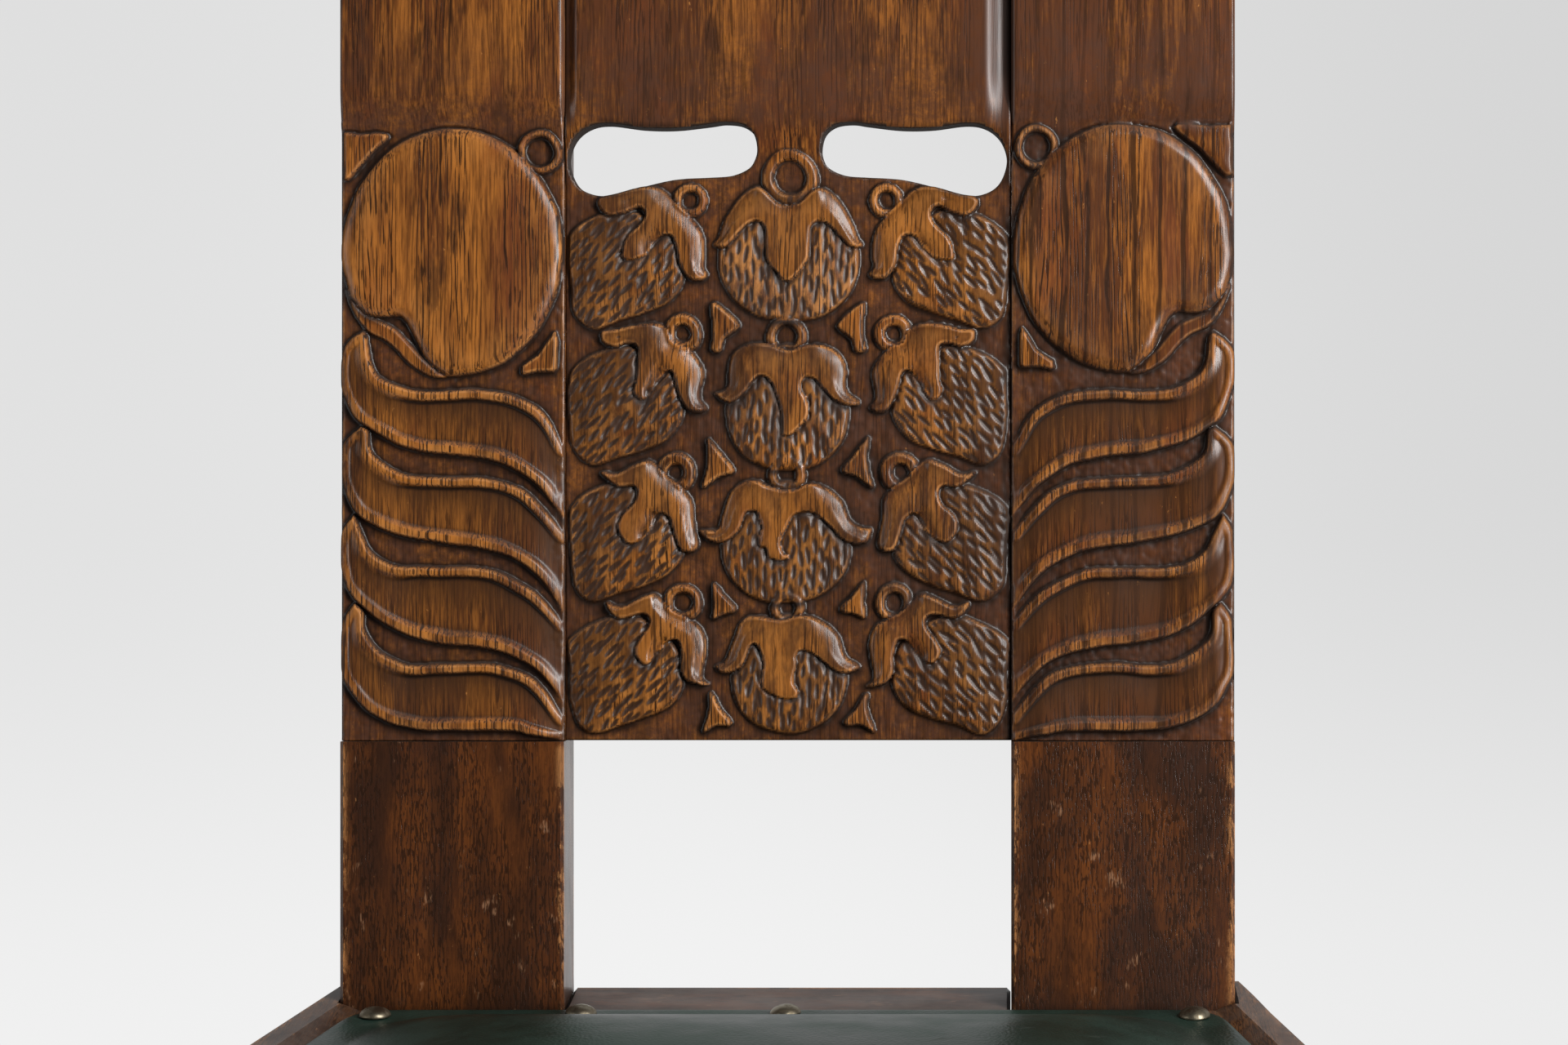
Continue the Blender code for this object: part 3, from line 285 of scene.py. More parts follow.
def smooth_line(points, steps=6):
    """An open curve through points."""
    knots = np.asarray(points, float)
    padded = np.vstack([2 * knots[0] - knots[1], knots, 2 * knots[-1] - knots[-2]])
    loop = smooth_loop(padded, steps)
    return loop[steps:steps * len(knots) + 1]


def line_distance(line, u, w):
    """Distance of every point (u, w) from an open line."""
    nearest = np.full(u.shape, 1e9)
    for (ax, ay), (bx, by) in zip(line, line[1:]):
        dx, dy = bx - ax, by - ay
        t = np.clip(((u - ax) * dx + (w - ay) * dy) / max(dx * dx + dy * dy, 1e-9), 0, 1)
        nearest = np.minimum(nearest, (u - ax - t * dx) ** 2 + (w - ay - t * dy) ** 2)
    return np.sqrt(nearest)


def inside_distance(loop, u, w):
    """Distance of every point (u, w) from a closed loop, positive inside it."""
    inside = np.zeros(u.shape, bool)
    for (ax, ay), (bx, by) in zip(loop, np.roll(loop, -1, axis=0)):
        if ay != by:
            inside ^= ((ay > w) != (by > w)) & (u < (bx - ax) * (w - ay) / (by - ay) + ax)
    away = line_distance(np.vstack([loop, loop[:1]]), u, w)
    return np.where(inside, away, -away)


def blend(value, start, end):
    """0 below start, 1 above end, and a smooth climb between."""
    t = np.clip((value - start) / (end - start), 0, 1)
    return t * t * (3 - 2 * t)


def round_over(depth, radius):
    """The rise of a rounded edge, from 0 at the edge to 1 a radius inside it."""
    t = np.clip(depth / radius, 0, 1)
    return np.sqrt(1 - (1 - t) ** 2)


def blurred(field, reach):
    """A field of heights smoothed over a number of cells."""
    taps = np.arange(-2 * math.ceil(reach), 2 * math.ceil(reach) + 1)
    weights = np.exp(-0.5 * (taps / reach) ** 2)
    weights /= weights.sum()
    for axis in (0, 1):
        pad = [(0, 0), (0, 0)]
        pad[axis] = (taps[-1], taps[-1])
        wide = np.pad(field, pad, mode="edge")
        size = field.shape[axis]
        field = sum(
            weight * np.take(wide, np.arange(tap + taps[-1], tap + taps[-1] + size), axis=axis)
            for tap, weight in zip(taps, weights)
        )
    return field


class Relief:
    """A carved face: heights in millimetres over a board, where 0 is the face before carving."""

    def __init__(self, half_width, carved_length, pitch, seed, shade_side=-1):
        self.across = np.linspace(-half_width, half_width, round(2 * half_width / pitch) + 1)
        fine = np.linspace(0, carved_length, round(carved_length / pitch) + 1)
        run_out = np.linspace(carved_length, RUN_OUT_TOP, 16)[1:]
        plain = np.linspace(RUN_OUT_TOP, BOARD_LENGTH, 16)[1:]
        self.along = np.concatenate([fine, run_out, plain])
        self.fine_rows = len(fine)
        self.pitch = pitch
        self.place_u, self.place_w = np.meshgrid(self.across, self.along)
        self.chance = np.random.default_rng(seed)
        self.u = self.place_u + self.wander(0.22)
        self.w = self.place_w + self.wander(0.22)
        self.height = np.zeros_like(self.u)
        self.cuts = np.zeros_like(self.u)
        # Painted shade in leaf hollows and on cap lobes, and stain on the less worn side of fruits
        self.shade_and_stain = np.zeros_like(self.u)
        self.wear = np.zeros_like(self.u)
        # Grime and painted shade round forms, on their steep edges and in recesses, and the way, down and
        # away from the light, that the painted shadow leans
        self.grime_and_shade = np.zeros_like(self.u)
        self.patches = np.clip(0.86 + self.wander(0.3), 0, 1)
        self.shade = np.array((0.6 * shade_side, -0.8))

    def wander(self, reach):
        """How far a hand-cut outline strays from its drawing."""
        stray = blurred(self.chance.normal(size=self.place_u.shape), 4.2 / self.pitch)
        return reach * stray / stray.std()

    def window(self, loop, margin=1.0):
        """The rows and columns of the face that a loop lies in, with a margin."""
        low = loop.min(axis=0) - margin
        high = loop.max(axis=0) + margin
        columns = slice(*np.searchsorted(self.across, (low[0], high[0])))
        rows = slice(*np.searchsorted(self.along, (low[1], high[1])))
        return rows, columns

    def raise_form(self, loop, top, radius, floor, shoulder=(0.0, 1.0), facing=None):
        """A form from the floor up to its top, with a rounded edge and a groove of grime and painted shade
        round it.

        A shoulder, its drop and its width, slopes the top down to the edge, all round or where the edge
        looks the way that facing gives for a point.
        """
        part = self.window(loop, 2 * GROOVE_REACH)
        depth = inside_distance(loop, self.u[part], self.w[part])
        inward_w, inward_u = np.gradient(blurred(depth, 1.2 / self.pitch))
        steep = np.maximum(np.hypot(inward_u, inward_w), 1e-6)
        drop, width = shoulder
        slope = drop * (1 - np.clip(depth / width, 0, 1)) ** 1.6
        if facing is not None:
            to_u, to_w = facing(self.u[part])
            slope *= blend(-(inward_u * to_u + inward_w * to_w) / steep, 0.0, 0.8)
        before = self.height[part]
        near = np.where(depth < 0, np.clip(1 + depth / GROOVE_REACH, 0, 1), 0)
        grooved = np.maximum(before - GROOVE_CUT * near**2, np.minimum(before, floor))
        # Painted shadow: the grime and shade round a form reach further and darker on the side away from
        # the light
        shaded = blend(-(inward_u * self.shade[0] + inward_w * self.shade[1]) / steep, -0.6, 0.6)
        shadowed_near = np.where(depth < 0, np.clip(1 + depth / (GROOVE_REACH * (1 + 0.8 * shaded)), 0, 1), 0)
        grime_and_shade = np.maximum(self.grime_and_shade[part], np.clip(1.5 * shadowed_near, 0, 1) * (0.45 + 0.55 * shaded))
        shape = floor + (top - slope - floor) * round_over(depth, radius)
        taller = (depth > 0) & (shape > before)
        self.height[part] = np.where(taller, shape, grooved)
        # Inside its edge the form's steep wall is painted dark, as shade
        self.grime_and_shade[part] = np.where(taller, 0.65 * np.clip(1 - depth / 0.9, 0, 1), grime_and_shade)
        for field in (self.cuts, self.shade_and_stain, self.wear):
            field[part] = np.where(taller, 0, field[part])
        return part, depth

    def raise_ring(self, u, w, inner, outer, top, floor):
        """A stem loop: a ring with a round section."""
        part = self.window(np.array([(u - outer, w - outer), (u + outer, w + outer)]))
        away = np.hypot(self.u[part] - u, self.w[part] - w)
        depth = np.minimum(outer - away, away - inner)
        shape = floor + (top - floor) * round_over(depth, 0.32 * (outer - inner))
        self.height[part] = np.where((depth > 0) & (shape > self.height[part]), shape, self.height[part])

    def sink(self, loop, floor, radius):
        """A hole cut down to a floor."""
        part = self.window(loop)
        depth = inside_distance(loop, self.u[part], self.w[part])
        cut = self.height[part] + (floor - self.height[part]) * blend(depth, 0, radius)
        self.height[part] = np.where(depth > 0, np.minimum(self.height[part], cut), self.height[part])

    def ease_edge(self, depth, radius):
        """Rounds the face over where depth, the distance from an edge, is less than a radius."""
        self.height = np.minimum(self.height, self.height - radius * (1 - round_over(depth, radius)))

    def finish_surface(self, unevenness, floor):
        """The unevenness that hand tools leave, most on the floor, and a slight softening of every edge."""
        fine = slice(0, self.fine_rows)
        noise = self.chance.normal(size=self.height[fine].shape)
        waves = blurred(noise, 2.6 / self.pitch)
        ripple = blurred(noise, 9.0 / self.pitch)
        marks = waves / waves.std() * 0.5 + ripple / ripple.std()
        dents = blurred(self.chance.normal(size=noise.shape), 0.9 / self.pitch)
        low = 1 - blend(self.height[fine], floor + 0.2, floor + 1.2)
        self.height[fine] += unevenness * (marks + 1.3 * low * dents / dents.std())
        self.height[fine] = blurred(self.height[fine], 0.30 / self.pitch)

    def mirror(self):
        """Turns the carving left for right."""
        for name in ("height", "cuts", "shade_and_stain", "wear", "grime_and_shade", "patches"):
            setattr(self, name, getattr(self, name)[:, ::-1].copy())

    def tones(self, ground, plain_tone):
        """Level, wear, crevice grime and shade, and cut of every point, each from 0 to 1, for the finish.

        A cut above 0.4 is a gouge cut, and one below darkens a form: painted shade in a leaf's hollow and
        on a cap's lobes, stain on a fruit's less worn side.
        """
        fine = slice(0, self.fine_rows)
        field = self.height[fine]
        lift = field - blurred(field, 0.8 / self.pitch)
        wide = field - blurred(field, 4.0 / self.pitch)
        tone = np.zeros((*self.height.shape, 4))
        plain = plain_tone * blend(self.w, 266.0, 280.0) * (1 - 0.28 * blend(self.w, 285.0, 350.0))
        tone[..., 0] = np.clip(1 + self.height / ground, 0, 1) * (1 - plain)
        tone[fine, :, 1] = np.clip((lift - 0.08) / 0.34, 0, 1)
        tone[..., 1] = np.maximum(tone[..., 1], self.wear * (1 - self.cuts))
        # Crevice: painted shade where the face lies below its surroundings, with the grime and painted
        # shade laid round forms
        tone[fine, :, 2] = np.clip(-lift / 0.36 - wide / 2.4, 0, 1) * (1 - 0.6 * self.cuts[fine])
        tone[..., 2] = np.maximum(tone[..., 2], self.grime_and_shade * self.patches)
        tone[..., 3] = np.where(self.cuts > 0, 0.4 + 0.6 * self.cuts, 0.4 * self.shade_and_stain)
        return tone


def lay_inside(field, part, depth, value):
    """Puts a value on a field of the face wherever depth is inside a form."""
    field[part] = np.where(depth > 0, value, field[part])


def carve_stile(relief, ground, disc_shift, spandrel_stretch):
    """A fruit disc over four leaf swags, on a sunk ground that runs out into the plain board above."""
    floor = -ground
    relief.height[:] = floor + ground * blend(relief.w, *STILE_CLIMB)
    for upper, lower in LEAVES:
        carve_leaf(relief, smooth_line(upper), smooth_line(lower), floor)
    shift = np.array((0.0, disc_shift))
    relief.raise_form(smooth_loop(CRESCENT) + shift, top=-2.2, radius=1.0, floor=floor)
    relief.sink(smooth_loop(CRESCENT_HOLE) + shift, floor, radius=1.8)
    angles = np.radians(np.arange(-93, 204, 6))
    rim = np.stack([np.cos(angles), np.sin(angles)], axis=1) * DISC_RADII + DISC_CENTRE
    disc = np.vstack([rim, smooth_line(DISC_NOTCH)]) + shift
    ring_u, ring_w, inner, outer = STILE_RING
    relief.raise_ring(ring_u, ring_w + disc_shift, inner, outer, top=-0.8, floor=floor)
    relief.sink(disc, floor, radius=0.3)
    part, depth = relief.raise_form(disc, top=0.3, radius=1.3, floor=floor, shoulder=(2.2, 5.5))
    lay_inside(relief.wear, part, depth, 0.42 * (1 - blend(depth, 4.0, 20.0)))
    spandrel = (np.array(OUTER_SPANDREL) - SPANDREL_CORNER) * spandrel_stretch + SPANDREL_CORNER + shift
    relief.raise_form(spandrel, top=-0.6, radius=0.9, floor=floor, shoulder=(0.6, 4.0))
    relief.raise_form(np.array(INNER_SPANDREL) + shift, top=-0.7, radius=1.0, floor=floor)
    relief.finish_surface(0.07, floor)
    plain = blend(relief.w, 262.0, 284.0)
    relief.ease_edge(STILE_HALF - relief.place_u, 1.0 + 1.6 * plain)
    relief.ease_edge(STILE_HALF + relief.place_u, 1.5)


def carve_leaf(relief, upper, lower, floor):
    """A leaf swag: a raised rim along both edges and a hollow between, deepest under the upper rim."""
    loop = np.vstack([upper[::-1], lower[1:]])
    part, depth = relief.raise_form(loop, top=-0.2, radius=1.3, floor=floor)
    u, w = relief.u[part], relief.w[part]
    from_upper = line_distance(upper, u, w)
    from_lower = line_distance(lower, u, w)
    climb = np.clip((from_lower - LEAF_RIM) / np.maximum(from_upper + from_lower - 8.0, 2.0), 0, 1)
    tip = 1 - blend(u, -36.0, -14.0)
    under_rim = blend(from_upper, LEAF_RIM - 1.6 * tip, 5.2 + 2.6 * tip)
    hollow = under_rim * (0.6 * blend(climb, 0.0, 0.15) + 0.4 * climb) * (1 - 0.55 * tip)
    fall = 3.9 * blend(u, 34.0, 52.0) ** 1.3 * (1 - 0.7 * hollow) + 1.4 * blend(-u, 41.0, 50.0)
    carved = relief.height[part] - LEAF_HOLLOW * hollow - fall
    lay_inside(relief.height, part, depth, np.maximum(carved, floor))
    rim = blend(depth, 0.5, 1.4) * (1 - blend(np.minimum(from_upper, from_lower), 3.2, 4.8))
    lay_inside(relief.wear, part, depth, 0.55 * rim)
    # Painted shade in the hollow, darkest under the upper rim, and the leaf darker towards its left end
    shade = under_rim * (0.30 * blend(climb, 0.0, 0.1) + 0.70 * climb)
    lay_inside(relief.shade_and_stain, part, depth, np.maximum(shade, 0.6 * tip * blend(depth, 2.6, 5.0)))


def gouge(relief, part, depth, middle, angle, cut_depth):
    """Staggered gouge strokes over a fruit, each a pointed hollow along about the given angle."""
    inside = np.zeros_like(relief.u)
    inside[part] = blend(depth, 0.3, 2.0)
    reach = 0.5 * np.hypot(np.ptp(relief.u[part]), np.ptp(relief.w[part]))
    cos, sin = math.cos(angle), math.sin(angle)
    chance = relief.chance.uniform
    rows = math.ceil(reach / ROW_PITCH)
    strokes = math.ceil(reach / STROKE_PITCH)
    for row in range(-rows, rows + 1):
        for stroke in range(-strokes, strokes + 1):
            along = (stroke + 0.5 * (row % 2) + chance(-0.25, 0.25)) * STROKE_PITCH
            across = (row + chance(-0.28, 0.28)) * ROW_PITCH
            half_length = chance(3.6, 5.6)
            half_width = chance(1.05, 1.5)
            turn = angle + chance(-0.2, 0.2)
            deep = cut_depth * chance(0.6, 1.1)
            u = middle[0] + along * cos - across * sin
            w = middle[1] + along * sin + across * cos
            spot = relief.window(np.array([(u, w)]), half_length)
            du, dw = relief.u[spot] - u, relief.w[spot] - w
            t = (du * math.cos(turn) + dw * math.sin(turn)) / half_length
            s = (dw * math.cos(turn) - du * math.sin(turn)) / half_width
            lens = np.clip(1 - t * t, 0, 1) * np.clip(1 - s * s / np.maximum(1 - t * t, 1e-3), 0, 1)
            lens = lens * inside[spot]
            relief.height[spot] -= deep * lens
            relief.cuts[spot] = np.maximum(relief.cuts[spot], lens)


def carve_fruit(relief, loop, angle, floor, cut_depth, worn_side, worn):
    """A fruit: a low dome with a steep edge, covered with gouge cuts and worn most on one side."""
    part, depth = relief.raise_form(loop, top=-1.9, radius=2.2, floor=floor)
    middle = loop.mean(axis=0)
    relief.height[part] += np.where(depth > 0, 0.9 * blend(depth, 0, 16.0), 0)
    toward = (relief.u[part] - middle[0]) * worn_side[0] + (relief.w[part] - middle[1]) * worn_side[1]
    wear = worn * blend(depth, 0.8, 3.0) * (0.15 + 0.85 * blend(toward, -22.0, 4.0))
    lay_inside(relief.wear, part, depth, wear)
    lay_inside(relief.shade_and_stain, part, depth, 1 - blend(toward - 30.0 * (0.95 - worn), -26.0, 8.0))
    gouge(relief, part, depth, middle, angle, cut_depth)


def carve_cap(relief, loop, floor, shoulder, facing):
    """A leafy cap over a fruit, its lobes falling away on the outside, with painted shade on its lobes and
    top round a worn middle.
    """
    part, depth = relief.raise_form(loop, 0.0, 0.9, floor, shoulder, facing)
    lay_inside(relief.wear, part, depth, 0.30 * blend(depth, 1.0, 5.0))
    # Painted shade, darkest at the top and on the outer lobes
    below_top = loop[:, 1].max() - relief.w[part]
    aside = np.abs(relief.u[part] - loop.mean(axis=0)[0])
    dark = np.maximum(0.75 - 0.30 * blend(below_top, 2.0, 16.0), 0.75 * blend(aside, 8.0, 24.0))
    lay_inside(relief.shade_and_stain, part, depth, dark * blend(depth, 0.5, 1.4))


def ellipse(u, w, half_u, half_w, power=2.25):
    """A slightly squared ellipse."""
    angles = np.radians(np.arange(0, 360, 6))
    turns = np.stack([np.cos(angles), np.sin(angles)], axis=1)
    return np.sign(turns) * np.abs(turns) ** (2 / power) * (half_u, half_w) + (u, w)


def outer_lobes(u):
    """The way that the outer lobes of a middle cap face."""
    return np.sign(u) * blend(np.abs(u), 8.0, 18.0), 0.3


def slot_loop(sign):
    """The outline of one hand slot; the left one is a little longer and lies nearer the middle."""
    loop = smooth_loop(HAND_SLOT, 6)
    return loop if sign > 0 else loop * (-LEFT_SLOT_STRETCH, 1) + (LEFT_SLOT_SHIFT, 0)


def carve_panel(relief, ground, cut_depth):
    """Three columns of capped fruits on a sunk ground, under two hand slots and a plain upper panel."""
    floor = -ground
    u, w = relief.u, relief.w
    relief.height[:] = floor + ground * blend(w + 0.05 * np.abs(u), *PANEL_CLIMB)
    for fruit, worn in zip(CENTRE_FRUITS, (0.95, 0.65, 0.5, 0.45)):
        carve_fruit(relief, ellipse(*fruit), math.pi / 2, floor, cut_depth, (0.0, -0.8), worn)
    for sign, angle in ((1, math.radians(50)), (-1, math.radians(130))):
        for shift in SIDE_BODY_SHIFTS:
            body = smooth_loop(SIDE_BODY) * (sign, 1) + (0, shift)
            carve_fruit(relief, body, angle, floor, cut_depth, (0.6 * sign, -0.8), 0.45)
    for ring in CENTRE_RINGS:
        relief.raise_ring(*ring, top=-1.3, floor=floor)
    for sign in (1, -1):
        for ring_u, *sizes in SIDE_RINGS:
            relief.raise_ring(sign * ring_u, *sizes, top=-1.5, floor=floor)
        for cap in SIDE_CAPS:
            carve_cap(relief, smooth_loop(cap) * (sign, 1), floor, (2.5, 7.5), lambda u: (sign, 0.25))
        for spacer in SPACERS:
            relief.raise_form(smooth_loop(spacer) * (sign, 1), top=-0.7, radius=0.9, floor=floor)
    other_half = [(-u, w) for u, w in POINTED_CAP[-2:0:-1]]
    carve_cap(relief, smooth_loop([*POINTED_CAP, *other_half]), floor, (2.5, 8.0), outer_lobes)
    for cap in ROUND_CAPS:
        carve_cap(relief, smooth_loop(cap), floor, (2.3, 7.5), outer_lobes)
    relief.finish_surface(0.06, floor)
    upper = blend(w, 262.0, 300.0)
    # Along both side edges the panel falls away towards the stiles where it is plain, and is painted dark
    # next to them with grime and shade, wider higher up
    for inward, drop, shoulder, edge_grime_and_shade, (start, end, more) in (
        (PANEL_HALF + u, 3.2, (1.0, 6.0), 0.75, (0.5, 2.2, 3.0)),
        (PANEL_HALF - u, 3.4, (3.0, 12.0), 0.92, (2.0, 5.5, 6.0)),
    ):
        relief.height -= upper * drop * (1 - blend(inward, *shoulder))
        relief.grime_and_shade = np.maximum(relief.grime_and_shade, edge_grime_and_shade * (1 - blend(inward, start, end + more * upper)))
    relief.ease_edge(relief.place_w, 1.2)
    for sign in (1, -1):
        loop = slot_loop(sign)
        part = relief.window(loop, 3.0)
        away = -inside_distance(loop, relief.place_u[part], relief.place_w[part])
        relief.height[part] -= SLOT_EDGE * (1 - round_over(away, SLOT_EDGE))
        # Painted shade, with grime, round the rim of each hand slot
        relief.grime_and_shade[part] = np.maximum(relief.grime_and_shade[part], 0.8 * (1 - blend(away, 0.4, 2.0)))
    relief.height = np.maximum(relief.height, floor - 0.5)


def board_mesh(name, relief, ground, plain_tone, side_steps, front, back, centre):
    """A board with a carved face: the face, the side walls with their tongue or groove, and the back."""
    rows, columns = relief.height.shape
    index = np.arange(rows * columns).reshape(rows, columns)
    points = [np.stack([relief.place_u, front - relief.height, relief.place_w], axis=-1).reshape(-1, 3)]
    tones = [relief.tones(ground, plain_tone).reshape(-1, 4)]
    quads = np.stack([index[:-1, :-1], index[:-1, 1:], index[1:, 1:], index[1:, :-1]], axis=-1)
    faces = quads.reshape(-1, 4).tolist()
    face_count = len(faces)
    rim = np.concatenate([index[0, :-1], index[:-1, -1], index[-1, :0:-1], index[:0:-1, 0]])
    u, w = relief.place_u.ravel()[rim], relief.place_w.ravel()[rim]
    left, right = np.isclose(u, relief.across[0]), np.isclose(u, relief.across[-1])
    ring = rim
    for left_out, right_out, depth in [*side_steps, (0.0, 0.0, back)]:
        moved = u - left_out * left + right_out * right
        start = sum(len(block) for block in points)
        points.append(np.stack([moved, np.full_like(u, depth), w], axis=-1))
        tones.append(np.tile((1.0, 0.0, 0.0, 0.0), (len(u), 1)))
        following = np.arange(start, start + len(rim))
        faces += np.stack([np.roll(ring, -1), ring, following, np.roll(following, -1)], axis=-1).tolist()
        ring = following
    faces.append(ring[::-1].tolist())
    spots = np.vstack(points)
    spots[:, 0] += centre
    spots[:, 2] += BOARD_FOOT
    mesh = bpy.data.meshes.new(name)
    mesh.from_pydata((spots * MM).tolist(), [], faces)
    carving = mesh.color_attributes.new("carving", "FLOAT_COLOR", "POINT")
    carving.data.foreach_set("color", np.vstack(tones).astype(np.float32).ravel())
    smooth = np.zeros(len(mesh.polygons), bool)
    smooth[:face_count] = True
    mesh.polygons.foreach_set("use_smooth", smooth)
    mesh.transform(BACK)
    mesh.update()
    return mesh


def linked(name, data):
    """A new object, put in the scene."""
    thing = bpy.data.objects.new(name, data)
    bpy.context.scene.collection.objects.link(thing)
    return thing


def finished_mesh(shape, name):
    """A mesh from a shape, which is then let go."""
    mesh = bpy.data.meshes.new(name)
    shape.to_mesh(mesh)
    shape.free()
    return mesh


def add_walls(shape, rings):
    """Faces between each ring of points and the next."""
    for first, second in zip(rings, rings[1:]):
        for i in range(len(first)):
            shape.faces.new((first[i - 1], first[i], second[i], second[i - 1]))


def dress(mesh, material):
    """Gives a mesh one material all over."""
    mesh.materials.clear()
    mesh.materials.append(material)


def add_piece(name, mesh, material, nodes):
    """A finished piece that stands for CAD nodes and rides on the chair."""
    piece = linked(name, mesh)
    dress(mesh, material)
    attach(piece, "root")
    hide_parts(*nodes)
    return piece


def evaluated_mesh(carrier, name):
    """The mesh that an object's modifiers make, after which the object goes."""
    bpy.context.view_layer.update()
    mesh = bpy.data.meshes.new_from_object(carrier.evaluated_get(bpy.context.evaluated_depsgraph_get()))
    mesh.name = name
    bpy.data.objects.remove(carrier)
    return mesh


def slot_cutter(sign):
    """A prism through the panel in the shape of a hand slot."""
    shape = bmesh.new()
    front, back = (
        [shape.verts.new(BACK @ Vector((u * MM, depth, (w + BOARD_FOOT) * MM))) for u, w in slot_loop(sign)]
        for depth in CUTTER_DEPTHS
    )
    shape.faces.new(front)
    shape.faces.new(back)
    add_walls(shape, [front, back])
    bmesh.ops.recalc_face_normals(shape, faces=shape.faces)
    if shape.calc_volume(signed=True) < 0:
        bmesh.ops.reverse_faces(shape, faces=shape.faces)
    return linked("slot_cutter", finished_mesh(shape, "slot_cutter"))


class NodeSketch:
    """Adds nodes to a tree; an input given as a socket is linked, and any other value is set."""

    def __init__(self, tree):
        self.tree = tree

    def add(self, kind, inputs=None, **settings):
        node = self.tree.nodes.new(kind)
        for key, value in settings.items():
            setattr(node, key, value)
        self.fill(node, inputs or {})
        return node

    def fill(self, node, inputs):
        for key, value in inputs.items():
            if isinstance(value, bpy.types.NodeSocket):
                self.tree.links.new(value, node.inputs[key])
            else:
                node.inputs[key].default_value = value

    def math(self, operation, *values):
        return self.add("ShaderNodeMath", dict(enumerate(values)), operation=operation).outputs[0]

    def plus(self, first, second):
        return self.math("ADD", first, second)

    def minus(self, first, second):
        return self.math("SUBTRACT", first, second)

    def times(self, first, second):
        return self.math("MULTIPLY", first, second)

    def times_plus(self, first, second, third):
        return self.math("MULTIPLY_ADD", first, second, third)

    def larger(self, first, second):
        return self.math("MAXIMUM", first, second)

    def fold(self, value):
        """How far a value is from the middle between two whole numbers."""
        return self.math("ABSOLUTE", self.minus(self.math("FRACT", value), 0.5))

    def place(self):
        return self.add("ShaderNodeTexCoord").outputs["Object"]

    def axes(self, vector):
        return self.add("ShaderNodeSeparateXYZ", {0: vector}).outputs

    def frame_of(self, vector, turn, stretch):
        inputs = {"Vector": vector, "Rotation": turn, "Scale": stretch}
        return self.add("ShaderNodeMapping", inputs, vector_type="TEXTURE").outputs[0]

    def noise(self, vector, scale, detail=2.0, roughness=0.5):
        inputs = {"Vector": vector, "Scale": scale, "Detail": detail, "Roughness": roughness}
        return self.add("ShaderNodeTexNoise", inputs).outputs[0]

    def rise(self, value, start, end, low=0.0, high=1.0):
        """A smooth climb from low to high, while the value goes from start to end."""
        inputs = {"Value": value, "From Min": start, "From Max": end, "To Min": low, "To Max": high}
        return self.add("ShaderNodeMapRange", inputs, interpolation_type="SMOOTHSTEP").outputs[0]

    def mix(self, factor, *colours):
        """One colour going over into another; a plain colour is three numbers."""
        first, second = (
            colour if isinstance(colour, bpy.types.NodeSocket) else (*colour, 1.0) for colour in colours
        )
        return self.add("ShaderNodeMix", {0: factor, 6: first, 7: second}, data_type="RGBA").outputs[2]

    def bump(self, height, strength, distance):
        inputs = {"Height": height, "Strength": strength, "Distance": distance}
        return self.add("ShaderNodeBump", inputs).outputs[0]


